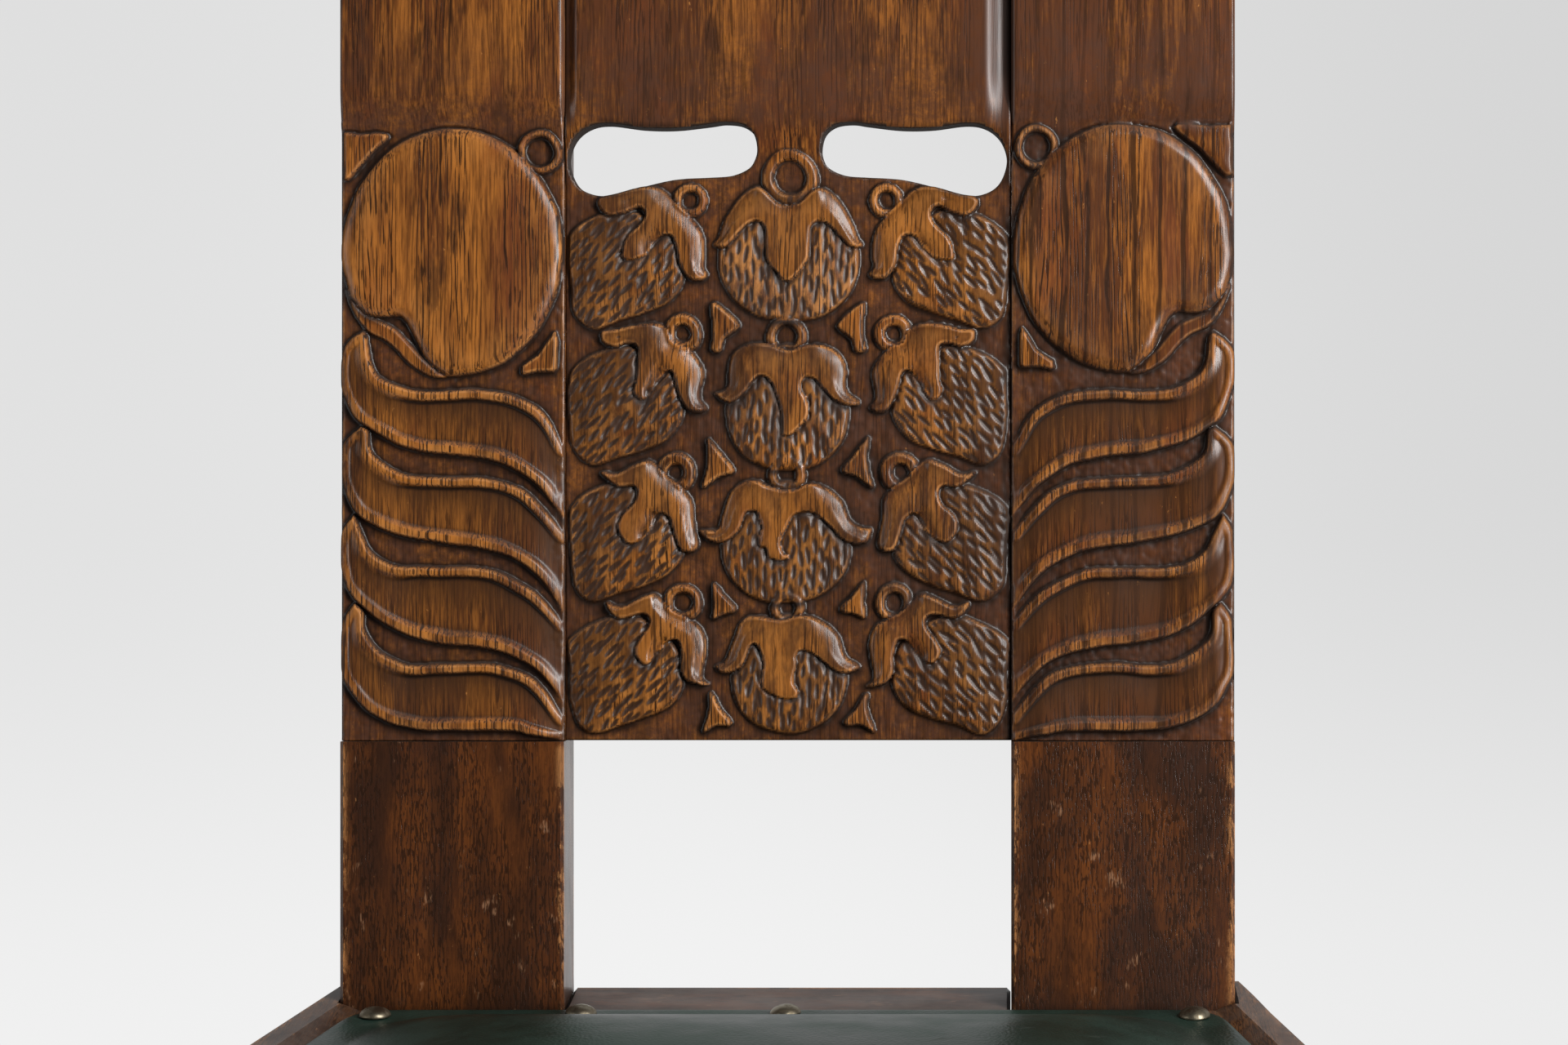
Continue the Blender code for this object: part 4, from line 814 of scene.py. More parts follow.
class OakSketch(NodeSketch):
    """Nodes of an oak finish, with places taken along and across the grain."""

    def __init__(self, tree, grain_turn):
        super().__init__(tree)
        self.grain_turn = grain_turn
        self.spot = self.place()
        self.height = self.axes(self.spot)[2]
        self.normal = self.add("ShaderNodeNewGeometry").outputs["Normal"]
        self.behind, self.upward = self.axes(self.normal)[1:3]
        self.across = self.axes(self.along(1))[0]
        self.broad = self.along(3)
        self.grain = self.along(24)
        self.streaks = self.noise(self.along(14), 700.0, 3.0, 0.65)

    def along(self, stretch):
        """Places for a pattern that is drawn out along the grain."""
        return self.frame_of(self.spot, self.grain_turn, (1, 1, stretch))

    def pores(self, carved):
        """Long broken pores with short ones between, and on the carved boards some wide growth rings."""
        sway = self.noise(self.along(9), 60.0, 2.0)
        dashes = self.noise(self.along(12), 560.0, 1.0)
        rings = self.times_plus(sway, 6.0, self.times(self.across, 520.0))
        rings = self.times_plus(self.noise(self.grain, 230.0, 1.0), 1.1, rings)
        broken = self.rise(dashes, 0.40, 0.48, 0.0, 1.0 if carved else 0.75)
        long_pores = self.times(self.rise(self.fold(rings), 0.17, 0.08), broken)
        span, length, scale = ((0.58, 0.64), 16, 1150.0) if carved else ((0.53, 0.58), 9, 1350.0)
        short_pores = self.rise(self.noise(self.along(length), scale, 1.0), *span, 0.0, 0.85)
        bands = self.rise(self.noise(self.grain, 85.0, 2.0, 0.6), 0.36, 0.52, 0.30, 1.0)
        pores = self.times(self.larger(long_pores, short_pores), bands)
        if not carved:
            return pores
        rings = self.fold(self.times_plus(sway, 1.6, self.times(self.across, 88.0)))
        rings = self.times_plus(dashes, 0.16, rings)
        rings = self.times(self.rise(rings, 0.21, 0.13), self.rise(self.streaks, 0.34, 0.46))
        rings = self.times(rings, self.rise(self.across, 0.06, 0.12, 0.0, 0.9))
        return self.larger(pores, rings)

    def carved_colour(self, tones, light, pores):
        """Colour of a carved board and its masks, from the level, wear, crevices and cuts of its face."""
        carving = self.add("ShaderNodeAttribute", attribute_name="carving", attribute_type="GEOMETRY")
        level, *masks = self.add("ShaderNodeSeparateColor", {0: carving.outputs["Color"]}).outputs[:3]
        front = self.rise(self.behind, 0.3, 0.8, 1.0, 0.0)
        ridge, crevice, cuts = (self.times(mask, front) for mask in (*masks, carving.outputs["Alpha"]))
        light = self.plus(light, self.rise(level, 0.45, 0.95, -0.10, 0.26))
        light = self.minus(light, self.rise(self.across, 0.03, 0.12, 0.0, 0.42))
        colour = self.mix(light, tones["brown"], tones["honey"])
        ruddy = self.rise(self.noise(self.broad, 38.0, 3.0, 0.6), 0.50, 0.70, 0.0, 0.55)
        colour = self.mix(ruddy, colour, tones["red"])
        depth = self.rise(level, 0.05, 0.50, 0.92, 0.0)
        patchy = self.rise(self.noise(self.spot, 130.0, 5.0, 0.75), 0.34, 0.62, 0.30, 1.0)
        colour = self.mix(self.times(depth, patchy), colour, tones["ground"])
        # Painted shade in leaf hollows and on cap lobes, and stain on a fruit's less worn side
        hollow = self.rise(cuts, 0.04, 0.40, 0.0, 0.74)
        colour = self.mix(hollow, colour, tones["shade"])
        pores = self.times(pores, self.rise(level, 0.05, 0.5, 0.45, 1.0))
        pores = self.times(pores, self.rise(hollow, 0.0, 0.7, 1.0, 0.55))
        stains = self.rise(self.noise(self.broad, 62.0, 4.0, 0.7), 0.55, 0.70, 0.0, 0.66)
        colour = self.mix(stains, colour, tones["stain"])
        cut = self.rise(cuts, 0.46, 0.66, 0.0, 0.74)
        return colour, pores, ridge, crevice, cut

    def plain_colour(self, tones, light):
        """Colour of plain oak, with flecks, stains and scuffs, and masks of its worn edges and of its
        corners, for grime and painted shade.
        """
        light = self.times_plus(light, 0.55, 0.16)
        colour = self.mix(light, tones["brown"], tones["honey"])
        rays = self.add("ShaderNodeMapping", {"Vector": self.broad, "Rotation": (0.0, 0.35, 0.0)})
        flecks = self.rise(self.noise(rays.outputs[0], 75.0, 4.0, 0.65), 0.54, 0.70, 0.0, 0.55)
        colour = self.mix(flecks, colour, tones["honey"])
        stains = self.rise(self.noise(self.broad, 40.0, 3.0, 0.6), 0.36, 0.62, 0.0, 0.85)
        colour = self.mix(stains, colour, tones["stain"])
        seat_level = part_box("seat_leather")[1][2]
        scuffs = self.noise(self.along(1.6), 95.0, 2.0, 0.6)
        scuffs = self.plus(scuffs, self.rise(self.height, seat_level + SCUFF_REACH, seat_level, 0.0, 0.06))
        strokes = self.rise(self.noise(self.along(7), 1000.0, 2.0, 0.6), 0.46, 0.58, 0.0, 0.62)
        colour = self.mix(self.times(self.rise(scuffs, 0.68, 0.74), strokes), colour, tones["scuff"])
        rounded = self.add("ShaderNodeBevel", {"Radius": EDGE_WEAR}, samples=6).outputs[0]
        facing = self.add("ShaderNodeVectorMath", {0: self.normal, 1: rounded}, operation="DOT_PRODUCT")
        lean = self.add("ShaderNodeVectorMath", {0: rounded, 1: self.normal}, operation="SUBTRACT")
        lean = self.axes(self.frame_of(lean.outputs[0], self.grain_turn, (1, 1, 1)))[2]
        end_grain = self.rise(self.math("ABSOLUTE", lean), 0.06, 0.20)
        ridge = self.minus(self.rise(facing.outputs["Value"], 0.992, 0.94), end_grain)
        # Ambient occlusion gives the corners and the joins between parts their grime and painted shade
        hidden = self.add("ShaderNodeAmbientOcclusion", {"Distance": 0.02}, samples=6).outputs["AO"]
        return colour, self.larger(ridge, 0.0), self.rise(hidden, 0.75, 0.25)

    def panel_mottle(self):
        """Dark mottle on the carved panel, fading towards the top of its carving."""
        half = PANEL_HALF * MM
        on_panel = self.rise(self.math("ABSOLUTE", self.across), half + 0.001, half)
        mottle = self.rise(self.noise(self.broad, 105.0, 4.0, 0.68), 0.46, 0.62, 0.0, 0.60)
        mottle = self.times(mottle, self.rise(self.height, *MOTTLE_FADE, 1.0, 0.25))
        return self.times(mottle, on_panel)


def new_material(name):
    material = bpy.data.materials.new(name)
    material.use_nodes = True
    return material, material.node_tree.nodes["Principled BSDF"]


def new_finish(name):
    material, shader = new_material(name)
    sketch = NodeSketch(material.node_tree)
    return material, sketch, shader, sketch.place()


def shaded(colour, share):
    """A darker tone of a colour."""
    return [share * part for part in colour]


def oak_finish(name, tones, grain_turn, carved=False):
    """Waxed oak with pores along the grain, worn pale on its edges, with grime and painted shade in its
    corners.
    """
    material, shader = new_material(name)
    oak = OakSketch(material.node_tree, grain_turn)
    cloudy = oak.noise(oak.broad, 24.0, 3.0, 0.6)
    light = oak.rise(oak.streaks, 0.32, 0.68, -0.36, 0.36)
    light = oak.plus(light, oak.rise(cloudy, 0.34, 0.64, -0.06, 0.74))
    pores = oak.pores(carved)
    chips = oak.noise(oak.along(2.5), 110.0, 5.0, 0.72)
    if carved:
        colour, pores, ridge, crevice, cut = oak.carved_colour(tones, light, pores)
        wear = oak.times(ridge, oak.rise(chips, 0.38, 0.60, 0.0, 0.72))
        wear = oak.times(wear, oak.rise(oak.across, 0.06, 0.12, 1.0, 0.55))
    else:
        colour, ridge, crevice = oak.plain_colour(tones, light)
        wear = oak.times(ridge, oak.rise(chips, 0.45, 0.53))
    specks = oak.noise(oak.along(2), 330.0, 5.0, 0.75)
    colour = oak.mix(oak.rise(specks, 0.66, 0.73, 0.0, 0.5), colour, tones["worn"])
    colour = oak.mix(wear, colour, tones["worn"])
    if carved:
        colour = oak.mix(oak.panel_mottle(), colour, tones["stain"])
        # Gouge floors take a darker colour, partly painted shade in the cuts
        colour = oak.mix(cut, colour, tones["cut"])
    colour = oak.mix(oak.times(pores, 0.94), colour, tones["pore"])
    # Crevices and corners take grime and painted shade
    colour = oak.mix(oak.times(crevice, 0.93), colour, tones["grime_and_shade"])
    ledge, most_dust, most_dull = ((0.30, 0.75), 0.16, 0.30) if carved else ((0.55, 0.95), 0.45, 0.20)
    dust = oak.rise(oak.noise(oak.spot, 45.0, 5.0, 0.7), 0.34, 0.66, 0.0, most_dust)
    dust = oak.times(dust, oak.rise(oak.upward, *ledge))
    dull = oak.plus(oak.rise(cloudy, 0.3, 0.7, 0.35, 0.23), oak.times(crevice, 0.04))
    if carved:
        dull = oak.times_plus(cut, 0.08, dull)
        dull = oak.times_plus(oak.times(ridge, crevice), 0.6, dull)
        dull = oak.plus(dull, oak.rise(ridge, 0.45, 0.9, 0.0, 0.3))
        dull = oak.plus(dull, oak.rise(oak.behind, -0.80, -0.50, 0.0, 0.5))
    fibre = oak.noise(oak.grain, 2600.0, 2.0)
    relief = oak.minus(oak.times(fibre, 0.04), oak.times(pores, 0.10))
    oak.fill(shader, {
        "Base Color": oak.mix(dust, colour, tones["dust"]),
        "Roughness": oak.plus(dull, oak.rise(oak.upward, *ledge, 0.0, most_dull)),
        "Normal": oak.bump(relief, 0.6, 0.0004),
        "Specular IOR Level": 0.36,
    })
    return material


def leather_finish(name, colour):
    """Old green leather: fine pebbled grain, uneven dye and a soft waxed gloss."""
    material, sketch, shader, place = new_finish(name)
    pebbles = sketch.add("ShaderNodeTexVoronoi", {"Vector": place, "Scale": 720.0}, feature="SMOOTH_F1")
    pebbles = pebbles.outputs[0]
    fine = sketch.noise(place, 1800.0, 2.0)
    cloudy = sketch.noise(place, 16.0, 4.0, 0.62)
    scuffs = sketch.noise(sketch.frame_of(place, (0, 0, 0.5), (3, 1, 1)), 120.0, 5.0, 0.7)
    scuffs = sketch.rise(scuffs, 0.60, 0.74)
    dark, darker = (shaded(colour, share) for share in (0.62, 0.4))
    pale = [1.35 * part + 0.004 for part in colour]
    base = sketch.mix(sketch.rise(cloudy, 0.3, 0.7), dark, pale)
    base = sketch.mix(sketch.times(scuffs, 0.30), base, (0.075, 0.080, 0.066))
    # The creases between the pebbles are painted darker, as shade
    base = sketch.mix(sketch.rise(pebbles, 0.62, 0.95, 0.0, 0.5), base, darker)
    grain = sketch.minus(sketch.times(fine, 0.25), pebbles)
    sketch.fill(shader, {
        "Base Color": base,
        "Roughness": sketch.plus(sketch.rise(cloudy, 0.3, 0.7, 0.34, 0.48), sketch.times(scuffs, 0.12)),
        "Normal": sketch.bump(grain, 0.35, 0.0004),
        "Specular IOR Level": 0.13,
    })
    return material


def metal_finish(name, colour, tarnish, roughness):
    """A dull metal with darker tarnish in patches."""
    material, sketch, shader, place = new_finish(name)
    patches = sketch.rise(sketch.noise(place, 260.0, 4.0, 0.65), 0.40, 0.66)
    sketch.fill(shader, {
        "Base Color": sketch.mix(patches, colour, tarnish),
        "Roughness": sketch.rise(patches, 0, 1, roughness - 0.06, roughness + 0.16),
        "Normal": sketch.bump(sketch.noise(place, 2400.0, 2.0), 0.2, 0.0002),
        "Metallic": 1.0,
    })
    return material


def woven_finish(name, colour, threads, turn=0.0):
    """Plain woven cloth: threads over and under each other, with uneven yarn."""
    material, sketch, shader, place = new_finish(name)
    x, y = sketch.axes(sketch.frame_of(place, (0, 0, turn), (1, 1, 1)))[:2]
    warp, weft = (sketch.math("SINE", sketch.times(axis, threads * math.pi)) for axis in (x, y))
    checker = sketch.times(warp, weft)
    yarn = sketch.noise(sketch.frame_of(place, (0, 0, turn), (1, 6, 1)), 900.0, 3.0, 0.6)
    # The threads are painted darker where the weave lies low, as shade between them, over the uneven yarn
    weave = sketch.plus(sketch.times(checker, 0.5), yarn)
    sketch.fill(shader, {
        "Base Color": sketch.mix(sketch.rise(weave, -0.1, 1.1), shaded(colour, 0.32), colour),
        "Roughness": 0.88,
        "Normal": sketch.bump(weave, 0.6, 0.0005),
        "Sheen Weight": 0.15,
    })
    return material


def fibre_finish(name, colour):
    """Matted stuffing."""
    material, sketch, shader, place = new_finish(name)
    tangle = sketch.noise(sketch.frame_of(place, (0.4, 0.3, 0.7), (1, 5, 2)), 700.0, 5.0, 0.7)
    # The tangle is darker where it lies low, partly painted shade in the matted fibres and partly their own
    # uneven colour
    sketch.fill(shader, {
        "Base Color": sketch.mix(sketch.rise(tangle, 0.3, 0.7), shaded(colour, 0.4), colour),
        "Roughness": 0.95,
        "Normal": sketch.bump(tangle, 0.8, 0.002),
    })
    return material


def plan_hull(node):
    """The plan outline of a CAD node, as points in order round it."""
    spots = sorted({(round(v.co.x, 5), round(v.co.y, 5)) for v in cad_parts[node].data.vertices})
    chains = []
    for run in (spots, spots[::-1]):
        chain = []
        for p in run:
            while len(chain) > 1 and (
                (chain[-1][0] - chain[-2][0]) * (p[1] - chain[-2][1])
                - (chain[-1][1] - chain[-2][1]) * (p[0] - chain[-2][0])
            ) <= 0:
                chain.pop()
            chain.append(p)
        chains += chain[:-1]
    return np.array(chains)


def even_loop(loop, count):
    """A closed loop as evenly spaced points."""
    closed = np.vstack([loop, loop[:1]])
    reach = np.concatenate([[0], np.cumsum(np.hypot(*np.diff(closed, axis=0).T))])
    spots = np.linspace(0, reach[-1], count, endpoint=False)
    return np.stack([np.interp(spots, reach, closed[:, axis]) for axis in (0, 1)], axis=1)


def reach_along(loop, centre, angles):
    """How far a loop lies from a centre in each direction."""
    dense = even_loop(loop, 2000) - centre
    order = np.argsort(np.arctan2(dense[:, 1], dense[:, 0]))
    turned = np.arctan2(dense[:, 1], dense[:, 0])[order]
    return np.interp(angles, turned, np.hypot(*dense.T)[order], period=2 * math.pi)


def fill_ring(shape, ring):
    """Fills a ring of points with a grid of four-sided faces and returns the new points."""
    side = len(ring) // 4
    turns = np.array([spot.co for spot in ring])
    lower, right = turns[:side + 1], turns[side:2 * side + 1]
    upper = turns[2 * side:3 * side + 1][::-1]
    left = np.vstack([turns[3 * side:], turns[:1]])[::-1]
    s = np.linspace(0, 1, side + 1)[:, None, None]
    t = np.linspace(0, 1, side + 1)[None, :, None]
    flat = (1 - t) * lower[:, None] + t * upper[:, None] + (1 - s) * left[None] + s * right[None]
    flat -= (
        (1 - s) * (1 - t) * lower[0] + s * (1 - t) * lower[-1]
        + (1 - s) * t * upper[0] + s * t * upper[-1]
    )
    grid = [[None] * (side + 1) for _ in range(side + 1)]
    for i in range(side + 1):
        grid[i][0], grid[side][i] = ring[i], ring[side + i]
        grid[side - i][side], grid[0][side - i] = ring[2 * side + i], ring[(3 * side + i) % len(ring)]
    fresh = []
    for i in range(1, side):
        for j in range(1, side):
            grid[i][j] = shape.verts.new(flat[i, j])
            fresh.append(grid[i][j])
    for i in range(side):
        for j in range(side):
            shape.faces.new((grid[i][j], grid[i + 1][j], grid[i + 1][j + 1], grid[i][j + 1]))
    return fresh


def crown_mesh(name, outer, foot, flange_z, crown):
    """The seat's upper face: a flat margin from the outer loop to the foot of the crown, then the crown."""
    centre = foot.mean(axis=0)
    rim = even_loop(outer, 176)
    angles = np.arctan2(*(rim - centre).T[::-1])
    far = np.hypot(*(rim - centre).T)
    near = reach_along(foot, centre, angles)
    shape = bmesh.new()
    rings = [(far + (near - far) * step, 0.0) for step in (0.0, 0.25, 0.5, 0.75)]
    for share in (1.0, 0.985, 0.965, 0.94, 0.91, 0.875, 0.83, 0.78, 0.72, 0.65, 0.57):
        rings.append((near * share, crown * (1 - share**CROWN_POWER)))
    loops = []
    for reach, lift in rings:
        ring = centre + np.stack([np.cos(angles), np.sin(angles)], axis=1) * reach[:, None]
        loops.append([shape.verts.new((x, y, flange_z + lift)) for x, y in ring])
    add_walls(shape, loops)
    middle = fill_ring(shape, loops[-1])
    offset = np.array([spot.co.xy for spot in middle]) - centre
    share = np.hypot(*offset.T) / reach_along(foot, centre, np.arctan2(*offset.T[::-1]))
    for spot, part in zip(middle, share):
        spot.co.z = flange_z + crown * (1 - float(part) ** CROWN_POWER)
    bmesh.ops.recalc_face_normals(shape, faces=shape.faces)
    return finished_mesh(shape, name)


def shrunk_ring(shape, loop, centre, share, z):
    """A level ring of points: a loop drawn in towards its centre."""
    return [shape.verts.new((*(centre + (p - centre) * share), z)) for p in loop]


def thicken(carrier, thickness):
    """Gives a sheet its thickness, below its upper face."""
    skin = carrier.modifiers.new("thickness", "SOLIDIFY")
    skin.thickness = thickness
    skin.offset = -1.0


def nail_spots():
    """Where each seat nail stands: the middle of its head's seat."""
    spots = []
    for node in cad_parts:
        if node.startswith("seat_nail"):
            low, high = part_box(node)
            spots.append(((low.x + high.x) / 2, (low.y + high.y) / 2, high.z))
    return np.array(spots)


def tighten(mesh, free, pressure, frames, cap):
    """Lets the cover swell as cloth under pressure where it is free, by no more than a cap."""
    carrier = linked("cover_cloth", mesh)
    count = len(mesh.vertices)
    before = np.empty(count * 3)
    mesh.vertices.foreach_get("co", before)
    group = carrier.vertex_groups.new(name="held")
    for i in range(count):
        group.add([i], 1 - float(free[i]), "REPLACE")
    cloth = carrier.modifiers.new("cover", "CLOTH")
    cloth.settings.vertex_group_mass = "held"
    cloth.settings.use_pressure = True
    cloth.settings.uniform_pressure_force = pressure
    cloth.settings.effector_weights.gravity = 0.0
    cloth.settings.tension_stiffness = 40.0
    cloth.settings.bending_stiffness = 1.5
    scene = bpy.context.scene
    for step in range(1, frames + 1):
        scene.frame_set(step)
    after = np.empty(count * 3)
    settled = carrier.evaluated_get(bpy.context.evaluated_depsgraph_get()).data
    settled.vertices.foreach_get("co", after)
    scene.frame_set(1)
    bpy.data.objects.remove(carrier)
    move = (after - before).reshape(-1, 3)
    reach = np.linalg.norm(move, axis=1, keepdims=True)
    move *= np.minimum(1, cap / np.maximum(reach, 1e-9))
    mesh.vertices.foreach_set("co", (before.reshape(-1, 3) + move).ravel())


class ChairCarvingSettings(bpy.types.PropertyGroup):
    """How the boards of the back are carved."""

    ground: bpy.props.FloatProperty(
        name="Ground depth", description="How far the ground is sunk below the forms",
        default=0.0045, unit="LENGTH",
    )
    cut_depth: bpy.props.FloatProperty(
        name="Gouge depth", description="Depth of the gouge cuts on the fruits",
        default=0.0010, unit="LENGTH",
    )
    stile_pitch: bpy.props.FloatProperty(
        name="Stile detail", description="Spacing of points on the carved stiles",
        default=0.00058, unit="LENGTH",
    )
    panel_pitch: bpy.props.FloatProperty(
        name="Panel detail", description="Spacing of points on the carved panel",
        default=0.00079, unit="LENGTH",
    )


class ChairFinishSettings(bpy.types.PropertyGroup):
    """Colours of the chair."""

    honey: bpy.props.FloatVectorProperty(
        name="Honey", description="Lightest oak", default=(0.34, 0.118, 0.020), subtype="COLOR", size=3
    )
    brown: bpy.props.FloatVectorProperty(
        name="Brown", description="Darker oak", default=(0.078, 0.023, 0.0054), subtype="COLOR", size=3
    )
    ground: bpy.props.FloatVectorProperty(
        name="Ground", description="Sunk ground of the carving",
        default=(0.064, 0.026, 0.0145), subtype="COLOR", size=3,
    )
    worn: bpy.props.FloatVectorProperty(
        name="Worn edge", description="Oak where the stain has worn off",
        default=(0.50, 0.205, 0.050), subtype="COLOR", size=3,
    )
    leather: bpy.props.FloatVectorProperty(
        name="Leather", description="Seat cover", default=(0.014, 0.030, 0.022), subtype="COLOR", size=3
    )
    brass: bpy.props.FloatVectorProperty(
        name="Brass", description="Nail heads", default=(0.22, 0.19, 0.135), subtype="COLOR", size=3
    )
    jute: bpy.props.FloatVectorProperty(
        name="Jute", description="Webbing and hessian", default=(0.42, 0.31, 0.19), subtype="COLOR", size=3
    )


class ChairNailSettings(bpy.types.PropertyGroup):
    """Sizes of the seat nails."""

    radius: bpy.props.FloatProperty(
        name="Head radius", description="Radius of a nail head", default=0.0070, unit="LENGTH"
    )
    dome: bpy.props.FloatProperty(
        name="Dome", description="Height of a nail head", default=0.0042, unit="LENGTH"
    )


class ChairStageSettings(bpy.types.PropertyGroup):
    """Studio light and backdrop."""

    key: bpy.props.FloatProperty(
        name="Key light", description="Power of the softbox over the camera", default=41.0, unit="POWER"
    )
    side: bpy.props.FloatProperty(
        name="Side lights", description="Power of each softbox at the sides", default=12.0, unit="POWER"
    )
    sky: bpy.props.FloatProperty(
        name="Room light", description="Strength of the light from all round", default=0.105
    )


def oak_tones(finish):
    """Colours of the carved boards and the crest; the other oak parts change some of them."""
    return {
        "honey": finish.honey, "brown": finish.brown, "ground": finish.ground, "worn": finish.worn,
        # cut colours the gouge floors, partly as painted shade; shade is painted shade in hollows and on
        # cap lobes and stain on fruits; grime is grime and painted shade in crevices
        "cut": (0.034, 0.0175, 0.0115), "shade": (0.048, 0.0195, 0.0062), "red": (0.150, 0.040, 0.011),
        "stain": (0.040, 0.0155, 0.0070), "pore": (0.016, 0.0062, 0.0024), "grime_and_shade": (0.012, 0.0054, 0.0028),
        "scuff": (0.27, 0.136, 0.070), "dust": (0.110, 0.076, 0.058),
    }


BACK_GRAIN = (-BACK_RAKE, 0, 0)
CROSS_GRAIN = (0, math.pi / 2, 0)
DEPTH_GRAIN = (math.pi / 2, 0, 0)
UP_GRAIN = (0, 0, 0)


def kept_finish(name, make, *details, **options):
    """A finish by name, made the first time it is asked for."""
    return bpy.data.materials.get(name) or make(name, *details, **options)


def carved_oak_finish(context):
    tones = oak_tones(context.scene.chair_finish)
    return kept_finish("carved_oak_finish", oak_finish, tones, BACK_GRAIN, carved=True)


class CHAIR_OT_carved_stiles(bpy.types.Operator):
    """Carve the two stile boards"""

    bl_idname = "chair.carved_stiles"
    bl_label = "Carved stiles"

    def execute(self, context):
        settings = context.scene.chair_carving
        ground = settings.ground / MM
        finish = carved_oak_finish(context)
        reach, start, end = GROOVE
        for side, sign, shift, stretch, seed, tone in (
            ("left", -1, 0.0, (1.0, 1.0), 3, 0.74),
            ("right", 1, 2.2, (1.27, 1.08), 8, 0.90),
        ):
            relief = Relief(STILE_HALF, STILE_CARVED, settings.stile_pitch / MM, seed, sign)
            carve_stile(relief, ground, shift, stretch)
            steps = (0.0, -reach)
            if sign > 0:
                relief.mirror()
                steps = (-reach, 0.0)
            sides = [(0.0, 0.0, 5.6), (0.0, 0.0, start), (*steps, start), (*steps, end), (0.0, 0.0, end)]
            name = f"{side}_stile_carving"
            mesh = board_mesh(name, relief, ground, tone, sides, 0.0, STILE_BACK, sign * STILE_CENTRE)
            add_piece(name, mesh, finish, [f"{side}_carved_stile"])
        return {"FINISHED"}


class CHAIR_OT_carved_panel(bpy.types.Operator):
    """Carve the panel between the stiles and cut its hand slots"""

    bl_idname = "chair.carved_panel"
    bl_label = "Carved panel"

    def execute(self, context):
        settings = context.scene.chair_carving
        ground = settings.ground / MM
        relief = Relief(PANEL_HALF, PANEL_CARVED, settings.panel_pitch / MM, 5)
        carve_panel(relief, ground, settings.cut_depth / MM)
        reach, start, end = TONGUE
        sides = [(0.0, 0.0, start), (reach, reach, start), (reach, reach, end), (0.0, 0.0, end)]
        mesh = board_mesh("panel_carving", relief, ground, 0.84, sides, PANEL_FRONT, PANEL_BACK, 0.0)
        carrier = linked("panel_carrier", mesh)
        cutters = [slot_cutter(sign) for sign in (1, -1)]
        for cutter in cutters:
            cut = carrier.modifiers.new("slot", "BOOLEAN")
            cut.operation = "DIFFERENCE"
            cut.solver = "MANIFOLD"
            cut.object = cutter
        mesh = evaluated_mesh(carrier, "panel_carving")
        for cutter in cutters:
            bpy.data.objects.remove(cutter)
        add_piece("panel_carving", mesh, carved_oak_finish(context), ["back_panel"])
        return {"FINISHED"}


class CHAIR_OT_oak_frame(bpy.types.Operator):
    """Finish the posts, rails, legs, stretchers, crest and blocks"""

    bl_idname = "chair.oak_frame"
    bl_label = "Oak frame"

    def execute(self, context):
        tones = oak_tones(context.scene.chair_finish)
        dark = {
            **tones, "honey": (0.135, 0.040, 0.0078), "brown": (0.046, 0.0142, 0.0054),
            "worn": (0.40, 0.175, 0.058), "stain": (0.025, 0.0095, 0.0046),
        }
        rubbed = {**dark, "honey": (0.250, 0.098, 0.028), "brown": (0.040, 0.0170, 0.0090)}
        plain = {**tones, "honey": (0.42, 0.27, 0.14), "brown": (0.25, 0.15, 0.075)}
        grains = {
            "rear_post": (dark, UP_GRAIN), "front_leg": (dark, UP_GRAIN), "_stretcher": (dark, DEPTH_GRAIN),
            "left_seat_rail": (rubbed, DEPTH_GRAIN), "right_seat_rail": (rubbed, DEPTH_GRAIN),
            "front_seat_rail": (dark, CROSS_GRAIN), "rear_seat_rail": (dark, CROSS_GRAIN),
            "cross_stretcher": (dark, CROSS_GRAIN), "crest_rail": (tones, CROSS_GRAIN),
            "_block": (plain, CROSS_GRAIN), "dowel": (plain, DEPTH_GRAIN),
        }
        steel = ((0.33, 0.32, 0.30), (0.12, 0.09, 0.07), 0.42)
        for node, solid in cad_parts.items():
            matches = [key for key in grains if node.endswith(key) or (key == "dowel" and key in node)]
            if matches:
                key = max(matches, key=len)
                dress(solid.data, kept_finish(f"oak_{key.strip('_')}", oak_finish, *grains[key]))
            elif "screw" in node:
                dress(solid.data, kept_finish("screw_steel_finish", metal_finish, *steel))
        return {"FINISHED"}


class CHAIR_OT_seat_cover(bpy.types.Operator):
    """Stretch the leather over the stuffing"""

    bl_idname = "chair.seat_cover"
    bl_label = "Leather seat"

    def execute(self, context):
        low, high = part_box("seat_leather")
        flange = RAIL_TOP + COVER_LIFT
        outer, foot = plan_hull("seat_leather"), plan_hull("seat_pad")
        mesh = crown_mesh("seat_cover", outer, foot, flange, high.z - flange)
        spots = np.array([v.co for v in mesh.vertices])
        nails = nail_spots()
        away = np.min(np.hypot(spots[:, None, 0] - nails[:, 0], spots[:, None, 1] - nails[:, 1]), axis=1)
        free = blend(spots[:, 2], flange + 0.0005, flange + 0.008)
        tighten(mesh, free, pressure=2.5, frames=20, cap=0.004)
        spots = np.array([v.co for v in mesh.vertices])
        spots[:, 2] = np.minimum(spots[:, 2], high.z + COVER_SWELL)
        spots[:, 2] -= DIMPLE_DEPTH * np.exp(-((away - DIMPLE_AWAY) / DIMPLE_WIDTH) ** 2) * free
        mesh.vertices.foreach_set("co", spots.ravel())
        carrier = linked("cover_carrier", mesh)
        thicken(carrier, COVER_THICKNESS)
        smooth = carrier.modifiers.new("smooth", "SUBSURF")
        smooth.levels = 1
        smooth.render_levels = 1
        mesh = evaluated_mesh(carrier, "seat_cover")
        mesh.shade_smooth()
        finish = kept_finish("green_leather_finish", leather_finish, context.scene.chair_finish.leather)
        cover = add_piece("seat_cover", mesh, finish, ["seat_leather"])
        return {"FINISHED"}


